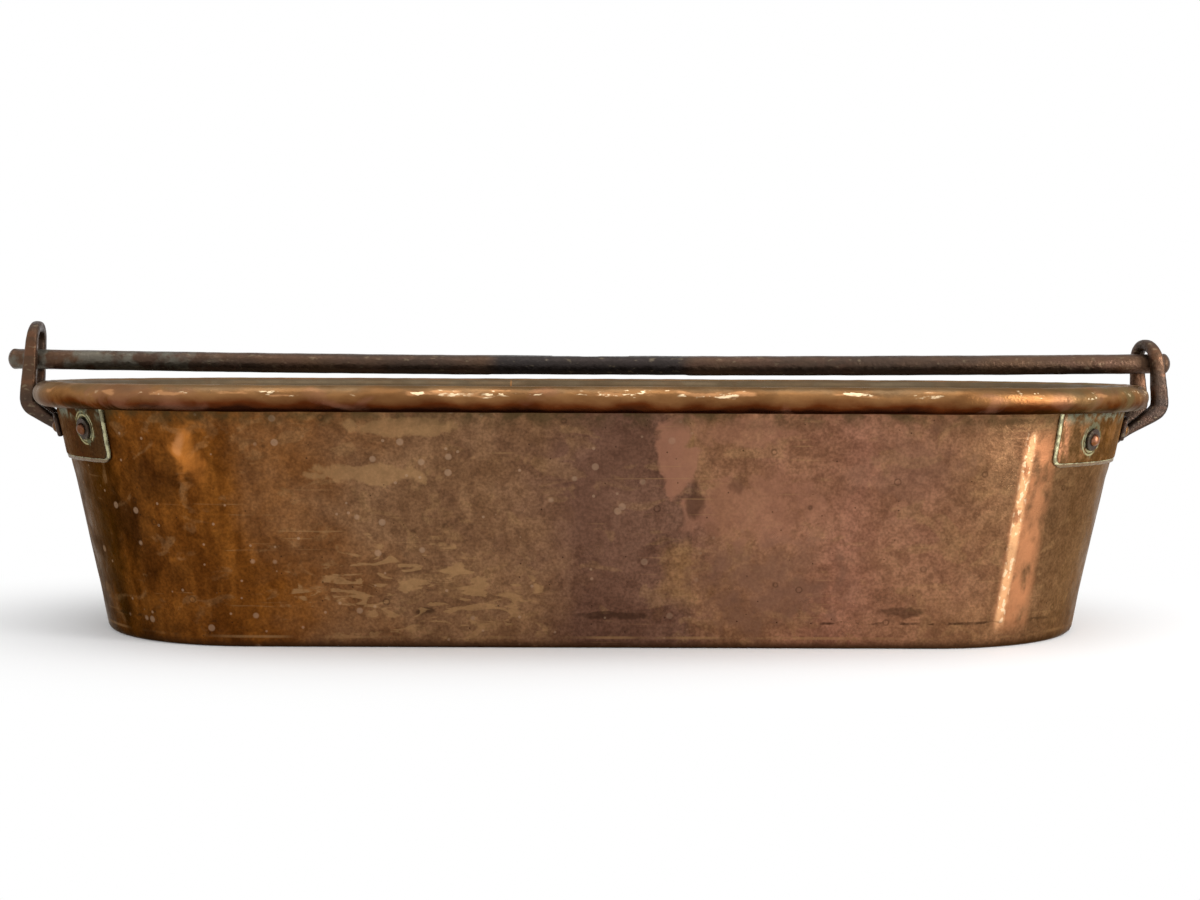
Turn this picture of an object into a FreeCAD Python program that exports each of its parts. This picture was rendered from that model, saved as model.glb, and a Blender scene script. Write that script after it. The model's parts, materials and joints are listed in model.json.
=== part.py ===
import FreeCAD, Part

import math
import os

import Sketcher
from FreeCAD import Vector

doc = FreeCAD.newDocument("fish_kettle")

# Driving dimensions in millimetres and degrees.
# The origin is the centre of the base, +X along the kettle, +Z up.
DRIVING = {
    # Copper body: straight sides between two half-round ends, flaring upwards
    "end_spacing": 400,  # between the axes of the two half-round ends
    "foot_radius": 106,  # outside of the sheet, carried down to the ground
    "mouth_radius": 135.8,  # outside of the sheet at the height of the rim wire
    "rim_height": 146,  # ground to the centre of the rim wire
    "sheet_gauge": 1.5,
    "base_corner_radius": 3.5,
    "base_flange_height": 15,
    "rim_wire_diameter": 12.5,
    "wire_fit": 0.05,
    "roll_lip_gap": 5,  # degrees left open between the rolled lip and the wall
    # Brazed joints between the sheets
    "side_seam_offset": 58,
    "side_seam_width": 1.2,
    "base_seam_width": 1.2,
    # Plates wrapped round the two ends; drops are measured down from the rim wire
    "plate_gauge": 2,
    "plate_drop": 37,
    "plate_tuck": 1.8,  # top edge above the underside of the rolled rim
    "plate_front_angle": 58,
    "plate_back_angle": 51,
    "plate_corner_radius": 5,
    "bead_width": 2,
    "bead_height": 1.3,
    # Rivets
    "shank_diameter": 5,
    "shank_fit": 0.05,
    "front_rivet_margin_angle": 13,  # from the plate's own edge
    "back_rivet_margin_angle": 8,
    "front_rivet_drop": 23,
    "back_rivet_drop": 19,
    "plate_dome_diameter": 7.6,
    "plate_dome_height": 3.2,
    "rove_diameter": 13.5,
    "rove_gauge": 1.4,
    "inner_head_diameter": 9,
    "inner_head_height": 1.6,
    "foot_rivet_angle": 13,
    "foot_rivet_drop": 20,
    "foot_dome_diameter": 8,
    "foot_dome_height": 2.4,
    # Forged stirrups
    "stirrup_gap": 4.4,  # from the rim's end to the legs
    "leg_width": 7.5,
    "leg_depth": 7,
    "leg_edge_radius": 2,
    "leg_tilt_angle": 5,  # legs lean in over the mouth
    "strut_width": 9,
    "knee_width": 9.5,
    "strut_angle": 32,
    "knee_drop": 8,
    "knee_radius": 9,
    "foot_gauge": 3,
    "foot_low_drop": 27,
    "foot_top_drop": 12,
    "foot_near_angle": 2,
    "foot_far_angle": 17.5,
    "foot_corner_radius": 4,
    "arch_rise_right": 15.4,  # from the bar's centre to the top of the arch
    "arch_rise_left": 24.2,
    "twist_right": 2.8,  # front leg further out than the back leg
    "twist_left": 0.5,
    "leg_gap_right": 1.8,  # from the bar's side to each leg
    "leg_gap_left": 0.4,
    # Carrying bar
    "bar_diameter": 12.5,
    "bar_overhang": 13.1,
    "bar_shift": -1,
    "bar_rise": 20.8,  # from the rim wire to the bar's centre at its ends
    "bar_sag": 2.7,
    "knob_diameter": 13.4,
    "knob_length": 6,
    "knob_neck": 2.5,
    "grip_length": 127,
    "grip_flat": 0.5,
    "grip_shift": -2,
}

# Places worked out from the driving dimensions, in the same units.
WORKED = {
    "straight_half": "Sizes.end_spacing / 2",
    "flare": "(Sizes.mouth_radius - Sizes.foot_radius) / Sizes.rim_height",
    "lean": "sqrt(1 + flare ^ 2)",
    "lean_angle": "atan(flare) / 1deg",
    "sheet_across": "Sizes.sheet_gauge * lean",
    "roll_inside": "Sizes.rim_wire_diameter / 2 + Sizes.wire_fit",
    "roll_radius": "roll_inside + Sizes.sheet_gauge",
    "roll_centre": "Sizes.mouth_radius - sheet_across + roll_radius * lean",
    "lip_angle": "acos(roll_inside / roll_radius) / 1deg + Sizes.roll_lip_gap - lean_angle",
    "wall_low": "Sizes.base_flange_height + Sizes.base_seam_width",
    "corner_centre": "Sizes.foot_radius + Sizes.base_corner_radius * (flare - lean)",
    "corner_inside": "Sizes.base_corner_radius - Sizes.sheet_gauge",
    "plate_top": "Sizes.rim_height - roll_radius + Sizes.plate_tuck",
    "plate_low_height": "Sizes.rim_height - Sizes.plate_drop",
    "front_rivet_height": "Sizes.rim_height - Sizes.front_rivet_drop",
    "back_rivet_height": "Sizes.rim_height - Sizes.back_rivet_drop",
    "foot_rivet_height": "Sizes.rim_height - Sizes.foot_rivet_drop",
    "foot_low_height": "Sizes.rim_height - Sizes.foot_low_drop",
    "foot_top_height": "Sizes.rim_height - Sizes.foot_top_drop",
    "knee_height": "Sizes.rim_height - Sizes.knee_drop",
    "rim_end": "straight_half + roll_centre + roll_radius",
    "stirrup_reach": "rim_end + Sizes.stirrup_gap + Sizes.leg_width / 2",
    "bar_height": "Sizes.rim_height + Sizes.bar_rise",
    "bar_half": "stirrup_reach + Sizes.bar_overhang",
    "arch_top_right": "bar_height + Sizes.arch_rise_right",
    "arch_top_left": "bar_height + Sizes.arch_rise_left",
    "front_run": "straight_half - Sizes.side_seam_offset - Sizes.side_seam_width / 2",
    "back_run": "straight_half + Sizes.side_seam_offset - Sizes.side_seam_width / 2",
}


def fill_sheet(name, cells, formula):
    sheet = doc.addObject("Spreadsheet::Sheet", name)
    for row, (alias, content) in enumerate(cells.items(), start=1):
        sheet.set(f"A{row}", alias)
        sheet.set(f"B{row}", f"={content}" if formula else str(content))
        sheet.setAlias(f"B{row}", alias)
    doc.recompute()
    return sheet


sizes = fill_sheet("Sizes", DRIVING, False)
worked = fill_sheet("Worked", WORKED, True)


def size(name):
    """Value of a driving or worked-out dimension."""
    sheet = sizes if name in DRIVING else worked
    return float(getattr(sheet, name))


def value(text):
    """Number that an expression gives."""
    found = sizes.evalExpression(text)
    return float(getattr(found, "Value", found))


# Expressions shared by the sketches: radii from the axis of a half-round end.
def outer_at(height):
    return f"(Sizes.foot_radius + Worked.flare * ({height}))"


def inner_at(height):
    return f"({outer_at(height)} - Worked.sheet_across)"


def body(name, turned=False):
    made = doc.addObject("PartDesign::Body", name)
    made.Label = name
    angle = 180 if turned else 0
    made.Placement = FreeCAD.Placement(Vector(), FreeCAD.Rotation(Vector(0, 0, 1), angle))
    return made


def plane(owner, role):
    return next(item for item in owner.Origin.OriginFeatures if item.Role == role)


def cross_section(owner, name, station):
    """Empty sketch square to the kettle's length, at an expression for X."""
    sketch = owner.newObject("Sketcher::SketchObject", name)
    sketch.AttachmentSupport = [(plane(owner, "YZ_Plane"), "")]
    sketch.MapMode = "FlatFace"
    sketch.setExpression("AttachmentOffset.Base.z", station)
    doc.recompute()
    return sketch


def pin(sketch, geometry, end, point):
    """Holds one end of a line at an expression for each coordinate."""
    for kind, text in zip(("DistanceX", "DistanceY"), point):
        index = sketch.addConstraint(
            Sketcher.Constraint(kind, -1, 1, geometry, end, value(text))
        )
        sketch.setExpression(f"Constraints[{index}]", text)


def draw_outline(sketch, steps):
    """Closed outline of steps (end point, None) or (end point, (centre, radius, turn)).

    Points are pairs of expressions, and turn is 1 for anticlockwise, -1 for clockwise.
    """
    spots = [tuple(value(text) for text in end) for end, _ in steps]
    edges = []
    for index, (_, arc) in enumerate(steps):
        begin, finish = spots[index - 1], spots[index]
        if arc is None:
            edges.append(Part.LineSegment(Vector(*begin, 0), Vector(*finish, 0)))
            continue
        centre, radius, turn = arc
        middle = Vector(value(centre[0]), value(centre[1]), 0)
        ends = (begin, finish) if turn > 0 else (finish, begin)
        angles = [math.atan2(y - middle.y, x - middle.x) for x, y in ends]
        circle = Part.Circle(middle, Vector(0, 0, 1), value(radius))
        edges.append(Part.ArcOfCircle(circle, *angles))
    sketch.addGeometry(edges, False)
    for index, (_, arc) in enumerate(steps):
        following = (index + 1) % len(steps)
        here = 2 if arc is None or arc[2] > 0 else 1
        next_arc = steps[following][1]
        there = 1 if next_arc is None or next_arc[2] > 0 else 2
        sketch.addConstraint(Sketcher.Constraint("Coincident", index, here, following, there))
    for index, (end, arc) in enumerate(steps):
        if arc is None:
            pin(sketch, index, 2, end)
            if steps[index - 1][1] is not None:
                pin(sketch, index, 1, steps[index - 1][0])
        else:
            number = sketch.addConstraint(Sketcher.Constraint("Radius", index, value(arc[1])))
            sketch.setExpression(f"Constraints[{number}]", arc[1])
    doc.recompute()


def mirrored(point, side):
    return (f"{side} * ({point[0]})", point[1])


def wall_outline(side):
    """Wall sheet with its upper edge rolled outwards round the rim wire."""
    roll = "Worked.roll_centre"
    height = "Sizes.rim_height"
    lip = "(Worked.lip_angle * 1deg)"

    def on_wall(radius):
        return (f"{roll} - {radius} / Worked.lean", f"{height} + {radius} * Worked.flare / Worked.lean")

    def on_lip(radius):
        return (f"{roll} - {radius} * cos({lip})", f"{height} - {radius} * sin({lip})")

    low = "Worked.wall_low"
    outside, inside = "Worked.roll_radius", "Worked.roll_inside"
    centre = mirrored((roll, height), side)
    return [
        (mirrored((inner_at(low), low), side), None),
        (mirrored(on_wall(outside), side), None),
        (mirrored(on_lip(outside), side), (centre, outside, -side)),
        (mirrored(on_lip(inside), side), None),
        (mirrored(on_wall(inside), side), (centre, inside, side)),
        (mirrored((outer_at(low), low), side), None),
    ]


def base_outline(side):
    """Half of the base pan: flat bottom, rounded corner and short flange."""
    corner = "Worked.corner_centre"
    radius, inside = "Sizes.base_corner_radius", "Worked.corner_inside"
    gauge, top = "Sizes.sheet_gauge", "Sizes.base_flange_height"

    def on_slope(arc):
        return (f"{corner} + {arc} / Worked.lean", f"{radius} - {arc} * Worked.flare / Worked.lean")

    centre = mirrored((corner, radius), side)
    return [
        (("0", gauge), None),
        (("0", "0"), None),
        (mirrored((corner, "0"), side), None),
        (mirrored(on_slope(radius), side), (centre, radius, side)),
        (mirrored((outer_at(top), top), side), None),
        (mirrored((inner_at(top), top), side), None),
        (mirrored(on_slope(inside), side), None),
        (mirrored((corner, gauge), side), (centre, inside, -side)),
    ]


def seam_outline(side):
    """Band of spelter between the base flange and the wall sheets."""
    low, high = "Sizes.base_flange_height", "Worked.wall_low"
    corners = [(inner_at(low), low), (inner_at(high), high), (outer_at(high), high), (outer_at(low), low)]
    return [(mirrored(point, side), None) for point in corners]


def revolve_end(owner, sketch):
    """Turns the outline half a turn round the axis of the end it stands at."""
    turned = owner.newObject("PartDesign::Revolution", sketch.Name + "_end")
    turned.Profile = sketch
    turned.ReferenceAxis = (sketch, ["V_Axis"])
    turned.Angle = 180
    doc.recompute()
    return turned


def pad_side(owner, sketch, length, name, reverse=True):
    """Runs the outline along the straight side, towards the kettle's middle."""
    run = owner.newObject("PartDesign::Pad", name)
    run.Profile = sketch
    run.Reversed = reverse
    run.setExpression("Length", length)
    doc.recompute()
    return run


def mirror(owner, feature, role, name):
    copy = owner.newObject("PartDesign::Mirrored", name)
    copy.Originals = [feature]
    copy.MirrorPlane = (plane(owner, role), [""])
    owner.Tip = copy
    doc.recompute()
    return copy


FRONT, BACK = -1, 1


def make_wall_sheet(name, turned):
    """One of two alike sheets: an end with a short front run and a long back run."""
    sheet = body(name + "_sheet", turned)
    front = cross_section(sheet, name + "_front", "Worked.straight_half")
    draw_outline(front, wall_outline(FRONT))
    revolve_end(sheet, front)
    pad_side(sheet, front, "Worked.front_run", name + "_front_run")
    back = cross_section(sheet, name + "_back", "Worked.straight_half")
    draw_outline(back, wall_outline(BACK))
    pad_side(sheet, back, "Worked.back_run", name + "_back_run")
    return sheet


def make_closed_band(name, outline):
    """A closed band round the kettle, from one outline at the right-hand end."""
    band = body(name)
    sketch = cross_section(band, name + "_section", "Worked.straight_half")
    draw_outline(sketch, outline(FRONT))
    end = revolve_end(band, sketch)
    side = pad_side(band, sketch, "Sizes.end_spacing", name + "_side")
    mirror(band, side, "XZ_Plane", name + "_other_side")
    mirror(band, end, "YZ_Plane", name + "_other_end")
    return band


def make_rim_wire():
    wire = body("rim_wire")
    sketch = cross_section(wire, "rim_wire_section", "Worked.straight_half")
    centre = mirrored(("Worked.roll_centre", "Sizes.rim_height"), FRONT)
    middle = Vector(value(centre[0]), value(centre[1]), 0)
    sketch.addGeometry(Part.Circle(middle, Vector(0, 0, 1), size("rim_wire_diameter") / 2), False)
    pin(sketch, 0, 3, centre)
    number = sketch.addConstraint(Sketcher.Constraint("Diameter", 0, size("rim_wire_diameter")))
    sketch.setExpression(f"Constraints[{number}]", "Sizes.rim_wire_diameter")
    end = revolve_end(wire, sketch)
    side = pad_side(wire, sketch, "Sizes.end_spacing", "rim_wire_side")
    mirror(wire, side, "XZ_Plane", "rim_wire_other_side")
    mirror(wire, end, "YZ_Plane", "rim_wire_other_end")
    return wire


def make_side_seam(name, turned):
    """Spelter between the two wall sheets, from the base seam over the rolled rim."""
    seam = body(name, turned)
    station = "Sizes.side_seam_offset + Sizes.side_seam_width / 2"
    sketch = cross_section(seam, name + "_section", station)
    draw_outline(sketch, wall_outline(FRONT))
    pad_side(seam, sketch, "Sizes.side_seam_width", name + "_run")
    return seam


# Shapes on the half-round end, made at the right-hand end and turned for the left.
AXIS_UP = Vector(0, 0, 1)
END_AXIS = Vector(size("straight_half"), 0, 0)


def end_patch(proud_from, proud_to, low, high, begin, finish):
    """Piece of a shell round the end, between two distances square to the wall's outside."""
    flare, lean = size("flare"), size("lean")

    def corner(height, proud):
        radius = size("foot_radius") + flare * height + proud * lean
        return END_AXIS + Vector(radius, 0, height)

    places = [(low, proud_from), (low, proud_to), (high, proud_to), (high, proud_from)]
    corners = [corner(*place) for place in places]
    face = Part.Face(Part.makePolygon(corners + corners[:1]))
    face.rotate(END_AXIS, AXIS_UP, begin)
    return face.revolve(END_AXIS, AXIS_UP, finish - begin)


def end_core(proud):
    """Solid cone, from well below the plates, under what stands proud of the wall by more."""
    low, high = size("plate_low_height") / 2, size("rim_height")
    bottom = size("foot_radius") + size("flare") * low + proud * size("lean")
    top = size("foot_radius") + size("flare") * high + proud * size("lean")
    return Part.makeCone(bottom, top, high - low, END_AXIS + Vector(0, 0, low))


def wall_frame(angle, height):
    """Point on the wall's outside at an end, and the direction square to it."""
    flare, lean = size("flare"), size("lean")
    turn = math.radians(angle)
    level = Vector(math.cos(turn), math.sin(turn), 0)
    radius = size("foot_radius") + flare * height
    return END_AXIS + level * radius + Vector(0, 0, height), (level - Vector(0, 0, flare)) / lean


def rod(frame, radius, begin, finish):
    spot, outward = frame
    return Part.makeCylinder(radius, finish - begin, spot + outward * begin, outward)


def dome(frame, diameter, height, seat):
    """Rounded rivet head standing at seat."""
    spot, outward = frame
    half = diameter / 2
    ball = (half ** 2 + height ** 2) / (2 * height)
    cap = Part.makeSphere(ball, spot + outward * (seat + height - ball))
    return cap.common(rod(frame, half, seat, seat + 2 * height))


def rounded_patch(proud_to, low, high, begin, finish, radius, corners):
    """Patch on the wall's outside with some corners rounded, each named (angle end, height end)."""
    patch = end_patch(0, proud_to, low, high, begin, finish)
    spread = math.degrees(radius / size("mouth_radius"))
    for at_finish, at_top in corners:
        angle = finish - spread if at_finish else begin + spread
        height = high - radius if at_top else low + radius
        outer_angle = finish + spread if at_finish else begin - spread
        outer_height = high + radius if at_top else low - radius
        block = end_patch(
            -proud_to,
            2 * proud_to,
            min(height, outer_height),
            max(height, outer_height),
            min(angle, outer_angle),
            max(angle, outer_angle),
        )
        patch = patch.cut(block.cut(rod(wall_frame(angle, height), radius, -radius, 2 * radius)))
    return patch


def plate_blank(grow, gauge):
    """Outline of an end plate, grown on three sides, at a gauge."""
    spread = math.degrees(grow / size("mouth_radius"))
    return rounded_patch(
        gauge,
        size("plate_low_height") - grow,
        size("plate_top"),
        -size("plate_front_angle") - spread,
        size("plate_back_angle") + spread,
        size("plate_corner_radius") + grow,
        [(False, False), (True, False)],
    )


def plate_rivet_frames():
    front = size("front_rivet_margin_angle") - size("plate_front_angle")
    back = size("plate_back_angle") - size("back_rivet_margin_angle")
    heights = size("front_rivet_height"), size("back_rivet_height")
    return [wall_frame(angle, height) for angle, height in zip((front, back), heights)]


def foot_rivet_frames():
    angle, height = size("foot_rivet_angle"), size("foot_rivet_height")
    return [wall_frame(side * angle, height) for side in (FRONT, BACK)]


def shank_holes(begin, finish):
    radius = size("shank_diameter") / 2 + size("shank_fit")
    frames = plate_rivet_frames() + foot_rivet_frames()
    holes = [rod(frame, radius, begin, finish) for frame in frames]
    return holes[0].multiFuse(holes[1:])


def rivet(frame, seat, dome_diameter, dome_height):
    """Shank through the wall, flat head inside and rounded head at its seat outside."""
    inside = -size("sheet_gauge")
    inner_end = inside - size("inner_head_height") / 2
    shank = rod(frame, size("shank_diameter") / 2, inner_end, seat + dome_height / 4)
    head = rod(frame, size("inner_head_diameter") / 2, inside - size("inner_head_height"), 0)
    margin = size("inner_head_diameter")
    wall = end_patch(inside, 2 * margin, size("plate_low_height") - margin, size("rim_height"), -90, 90)
    cap = dome(frame, dome_diameter, dome_height, seat)
    return shank.fuse([head.cut(wall), cap]).removeSplitter()


def add_shape(name, shape, turned=False):
    """Sub-part whose shape was worked out above, in its place."""
    made = doc.addObject("Part::Feature", name)
    made.Label = name
    made.Shape = shape
    angle = 180 if turned else 0
    made.Placement = FreeCAD.Placement(Vector(), FreeCAD.Rotation(AXIS_UP, angle))
    return made


def make_wall(name, turned):
    """Wall sheet with the holes for the rivets of its end."""
    sheet = make_wall_sheet(name, turned)
    depth = size("sheet_gauge") + size("plate_gauge")
    holes = add_shape(name + "_holes", shank_holes(-depth, depth), turned)
    wall = doc.addObject("Part::Cut", name)
    wall.Base = sheet
    wall.Tool = holes
    wall.Label = name
    doc.recompute()
    return wall


def plate_shape():
    depth = size("plate_gauge") * 2
    return plate_blank(0, size("plate_gauge")).cut(shank_holes(-depth, depth))


def bead_shape():
    """Solder round the three free edges of an end plate."""
    grown = plate_blank(size("bead_width"), size("bead_height"))
    return grown.cut(plate_blank(0, size("plate_gauge")))


def plate_rivet_shape():
    seat = size("plate_gauge") + size("rove_gauge")
    head = size("plate_dome_diameter"), size("plate_dome_height")
    return Part.makeCompound([rivet(frame, seat, *head) for frame in plate_rivet_frames()])


def rove_shape():
    """Washers under the outer rivet heads, hammered down to the plate's curve."""
    plate, gauge = size("plate_gauge"), size("rove_gauge")
    radius = size("rove_diameter") / 2
    hole = size("shank_diameter") / 2 + size("shank_fit")
    washers = []
    for frame in plate_rivet_frames():
        blank = rod(frame, radius, 0, plate + gauge).cut(end_core(plate))
        washers.append(blank.cut(rod(frame, hole, 0, plate + 2 * gauge)))
    return Part.makeCompound(washers)


def foot_rivet_shape():
    seat = size("plate_gauge") + size("foot_gauge")
    head = size("foot_dome_diameter"), size("foot_dome_height")
    return Part.makeCompound([rivet(frame, seat, *head) for frame in foot_rivet_frames()])


def rounded_section(width, depth, spot, along, across):
    """Rounded oblong wire at a spot, square to along, with its width in the plane of travel."""
    corner = size("leg_edge_radius")
    side = along.cross(across)
    half_w, half_d = width / 2, depth / 2
    bulge = corner * (1 - math.cos(math.pi / 4))
    edges = []
    previous = None
    first = None
    for turn_w, turn_d in ((1, -1), (1, 1), (-1, 1), (-1, -1)):
        before = (turn_w * half_w, turn_d * (half_d - corner))
        middle = (turn_w * (half_w - bulge), turn_d * (half_d - bulge))
        after = (turn_w * (half_w - corner), turn_d * half_d)
        if turn_w * turn_d > 0:
            spots = [before, middle, after]
        else:
            spots = [after, middle, before]
        points = [spot + side * w + across * d for w, d in spots]
        if previous is not None:
            edges.append(Part.LineSegment(previous, points[0]).toShape())
        else:
            first = points[0]
        edges.append(Part.Arc(*points).toShape())
        previous = points[2]
    edges.append(Part.LineSegment(previous, first).toShape())
    return Part.Wire(edges)


def stirrup_leg_places():
    """Strut's inner end, then start, middle and end of the knee, in the plane of one leg."""
    slope = math.radians(size("strut_angle"))
    turn = math.pi / 2 - slope
    setback = size("knee_radius") * math.tan(turn / 2)
    knee = Vector(size("stirrup_reach"), 0, size("knee_height"))
    inward = Vector(-math.cos(slope), 0, -math.sin(slope))
    wall = size("straight_half") + size("foot_radius") + size("flare") * size("foot_low_height")
    run = (knee.x - wall) / math.cos(slope) + size("strut_width")
    centre = knee + (AXIS_UP + inward).normalize() * (size("knee_radius") / math.cos(turn / 2))
    middle = centre + (knee - centre).normalize() * size("knee_radius")
    return knee + inward * run, knee + inward * setback, middle, knee + AXIS_UP * setback


def leaned_in(shape, turn):
    """Shape pushed in over the mouth the higher it is, and out the nearer it is to the front."""
    tilt = math.tan(math.radians(size("leg_tilt_angle")))
    push = FreeCAD.Matrix()
    push.A12 = -turn
    push.A13 = -tilt
    push.A14 = tilt * size("knee_height")
    return shape.transformGeometry(push)


def stirrup_rod(arch_top, offset):
    """Forged rod: struts out under the rim, and legs up to an arch, at an offset from the bar."""
    front = [place + Vector(0, -offset, 0) for place in stirrup_leg_places()]
    back = [place + Vector(0, offset, 0) for place in stirrup_leg_places()]
    spring = arch_top - size("leg_depth") / 2 - offset
    tops = [Vector(knee_end.x, knee_end.y, spring) for knee_end in (front[3], back[3])]
    crown = Vector(size("stirrup_reach"), 0, spring + offset)
    path = Part.Wire(
        [
            Part.LineSegment(front[0], front[1]).toShape(),
            Part.Arc(front[1], front[2], front[3]).toShape(),
            Part.LineSegment(front[3], tops[0]).toShape(),
            Part.Arc(tops[0], crown, tops[1]).toShape(),
            Part.LineSegment(tops[1], back[3]).toShape(),
            Part.Arc(back[3], back[2], back[1]).toShape(),
            Part.LineSegment(back[1], back[0]).toShape(),
        ]
    )
    strut, knee, leg = size("strut_width"), size("knee_width"), size("leg_width")
    outward = (front[1] - front[0]).normalize()
    sections = [(front[0], outward, strut), (front[1], outward, strut), (front[3], AXIS_UP, knee)]
    sections += [(tops[0], AXIS_UP, leg), (tops[1], -AXIS_UP, leg)]
    sections += [(back[3], -AXIS_UP, knee), (back[1], -outward, strut), (back[0], -outward, strut)]
    pipe = Part.BRepOffsetAPI.MakePipeShell(path)
    for spot, along, width in sections:
        facing = Vector(0, 1 if spot.y < 0 else -1, 0)
        section = rounded_section(width, size("leg_depth"), spot, along, facing)
        corner = min(path.Vertexes, key=lambda vertex: vertex.Point.distanceToPoint(spot))
        pipe.add(section, corner)
    pipe.build()
    pipe.makeSolid()
    return pipe.shape()


def stirrup_shape(arch_top, twist, leg_gap):
    """Stirrup with its feet on the plate and its arch over the bar."""
    core = end_core(size("plate_gauge"))
    offset = (size("bar_diameter") + size("leg_depth")) / 2 + leg_gap
    wrought = leaned_in(stirrup_rod(arch_top, offset), twist / offset).cut(core)
    seat = size("plate_gauge") + size("foot_gauge")
    low, high = size("foot_low_height"), size("foot_top_height")
    feet = []
    for side in (FRONT, BACK):
        begin, finish = sorted((side * size("foot_near_angle"), side * size("foot_far_angle")))
        corners = [(side == BACK, False), (side == BACK, True)]
        foot = rounded_patch(seat, low, high, begin, finish, size("foot_corner_radius"), corners)
        feet.append(foot.cut(core))
    return wrought.fuse(feet).cut(shank_holes(-seat, 2 * seat)).removeSplitter()


def end_pieces():
    """Shape of everything riveted or soldered to one half-round end, by name."""
    return {
        "end_plate": plate_shape(),
        "plate_solder": bead_shape(),
        "plate_rivets": plate_rivet_shape(),
        "plate_roves": rove_shape(),
        "stirrup_rivets": foot_rivet_shape(),
    }


def knob_shape():
    """Upset end of the bar, swelling from the bar's own radius, along +X from its neck."""
    radius, knob = size("bar_diameter") / 2, size("knob_diameter") / 2
    neck, length = size("knob_neck"), size("knob_length")
    crown = length - neck
    ball = (knob ** 2 + crown ** 2) / (2 * crown)
    along = Vector(1, 0, 0)
    swell = Part.makeCone(radius, knob, neck, Vector(), along)
    cap = Part.makeSphere(ball, along * (length - ball))
    cap = cap.common(Part.makeCylinder(knob, 2 * crown, along * neck, along))
    return swell.fuse(cap).removeSplitter()


def bar_shape():
    """Round iron bar, bowed down a little, with a flattened grip and upset ends."""
    neck = size("bar_half") - size("knob_length")
    shift, rise = size("bar_shift"), size("bar_height")
    radius = size("bar_diameter") / 2
    ends = [Vector(shift - neck, 0, rise), Vector(shift + neck, 0, rise)]
    middle = Vector(shift, 0, rise - size("bar_sag"))
    path = Part.Wire([Part.Arc(ends[0], middle, ends[1]).toShape()])
    section = Part.Wire([Part.Circle(ends[0], Vector(1, 0, 0), radius).toShape()])
    shaft = path.makePipeShell([section], True, False)
    knobs = []
    for end, turn in zip(ends, (180, 0)):
        knob = knob_shape()
        knob.Placement = FreeCAD.Placement(end, FreeCAD.Rotation(AXIS_UP, turn))
        knobs.append(knob)
    lowest = middle.z - radius
    corner = Vector(size("grip_shift") - size("grip_length") / 2, -radius, lowest)
    under = Part.makeBox(size("grip_length"), 2 * radius, size("grip_flat"), corner)
    over = under.translated(Vector(0, 0, 2 * radius - size("grip_flat")))
    return shaft.fuse(knobs).cut([under, over]).removeSplitter()


subparts = []
for side_name, is_turned in (("right", False), ("left", True)):
    subparts.append(make_wall(f"wall_{side_name}", is_turned))
    for piece, shape in end_pieces().items():
        subparts.append(add_shape(f"{piece}_{side_name}", shape, is_turned))
subparts.append(make_closed_band("base_pan", base_outline))
subparts.append(make_closed_band("base_seam", seam_outline))
subparts.append(make_rim_wire())
subparts.append(make_side_seam("side_seam_front", False))
subparts.append(make_side_seam("side_seam_back", True))

for side_name, is_turned in (("right", False), ("left", True)):
    own_sizes = [size(f"{what}_{side_name}") for what in ("arch_top", "twist", "leg_gap")]
    stirrup = stirrup_shape(*own_sizes)
    subparts.append(add_shape(f"stirrup_{side_name}", stirrup, is_turned))
subparts.append(add_shape("carrying_bar", bar_shape()))

doc.recompute()
for item in doc.Objects:
    if "Invalid" in item.State or "Error" in item.State:
        raise RuntimeError(f"{item.Name} did not compute: {item.State}")
os.makedirs("parts", exist_ok=True)
for item in subparts:
    shape = item.Shape
    if shape.isNull() or not shape.isValid():
        raise RuntimeError(f"{item.Label} has no valid shape")
    print(f"{item.Label}: {len(shape.Solids)} solid, {shape.Volume / 1000:.2f} cm3")
    shape.exportStep(f"parts/{item.Label}.step")
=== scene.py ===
import json
import math

import bmesh
import bpy
from mathutils import Matrix, Vector, noise

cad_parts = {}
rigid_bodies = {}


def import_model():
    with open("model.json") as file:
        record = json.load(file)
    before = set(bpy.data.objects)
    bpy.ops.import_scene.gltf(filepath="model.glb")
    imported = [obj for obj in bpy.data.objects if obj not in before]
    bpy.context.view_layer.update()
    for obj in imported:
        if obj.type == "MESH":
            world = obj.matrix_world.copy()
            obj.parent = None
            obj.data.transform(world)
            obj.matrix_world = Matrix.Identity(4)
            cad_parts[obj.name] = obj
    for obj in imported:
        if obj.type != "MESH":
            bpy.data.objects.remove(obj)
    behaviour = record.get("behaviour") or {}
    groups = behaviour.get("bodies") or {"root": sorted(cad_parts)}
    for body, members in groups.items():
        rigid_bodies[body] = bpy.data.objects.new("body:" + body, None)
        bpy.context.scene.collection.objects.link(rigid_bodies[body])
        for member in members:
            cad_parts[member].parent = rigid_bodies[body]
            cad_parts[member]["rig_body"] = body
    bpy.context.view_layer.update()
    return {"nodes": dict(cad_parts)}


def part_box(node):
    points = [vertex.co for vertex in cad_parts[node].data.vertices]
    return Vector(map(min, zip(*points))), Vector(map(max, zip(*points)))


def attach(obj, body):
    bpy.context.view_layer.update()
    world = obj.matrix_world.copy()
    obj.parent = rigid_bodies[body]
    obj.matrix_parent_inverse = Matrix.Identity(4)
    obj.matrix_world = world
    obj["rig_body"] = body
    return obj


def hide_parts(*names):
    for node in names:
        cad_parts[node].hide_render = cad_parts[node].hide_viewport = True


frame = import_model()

bl_info = {
    "name": "Copper fish kettle",
    "version": (1, 0, 0),
    "blender": (4, 5, 0),
    "location": "3D View > Sidebar > Kettle",
    "description": "Hammered copper, solder and forged iron around the kettle's solid model",
    "category": "Object",
}

MM = 0.001

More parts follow.
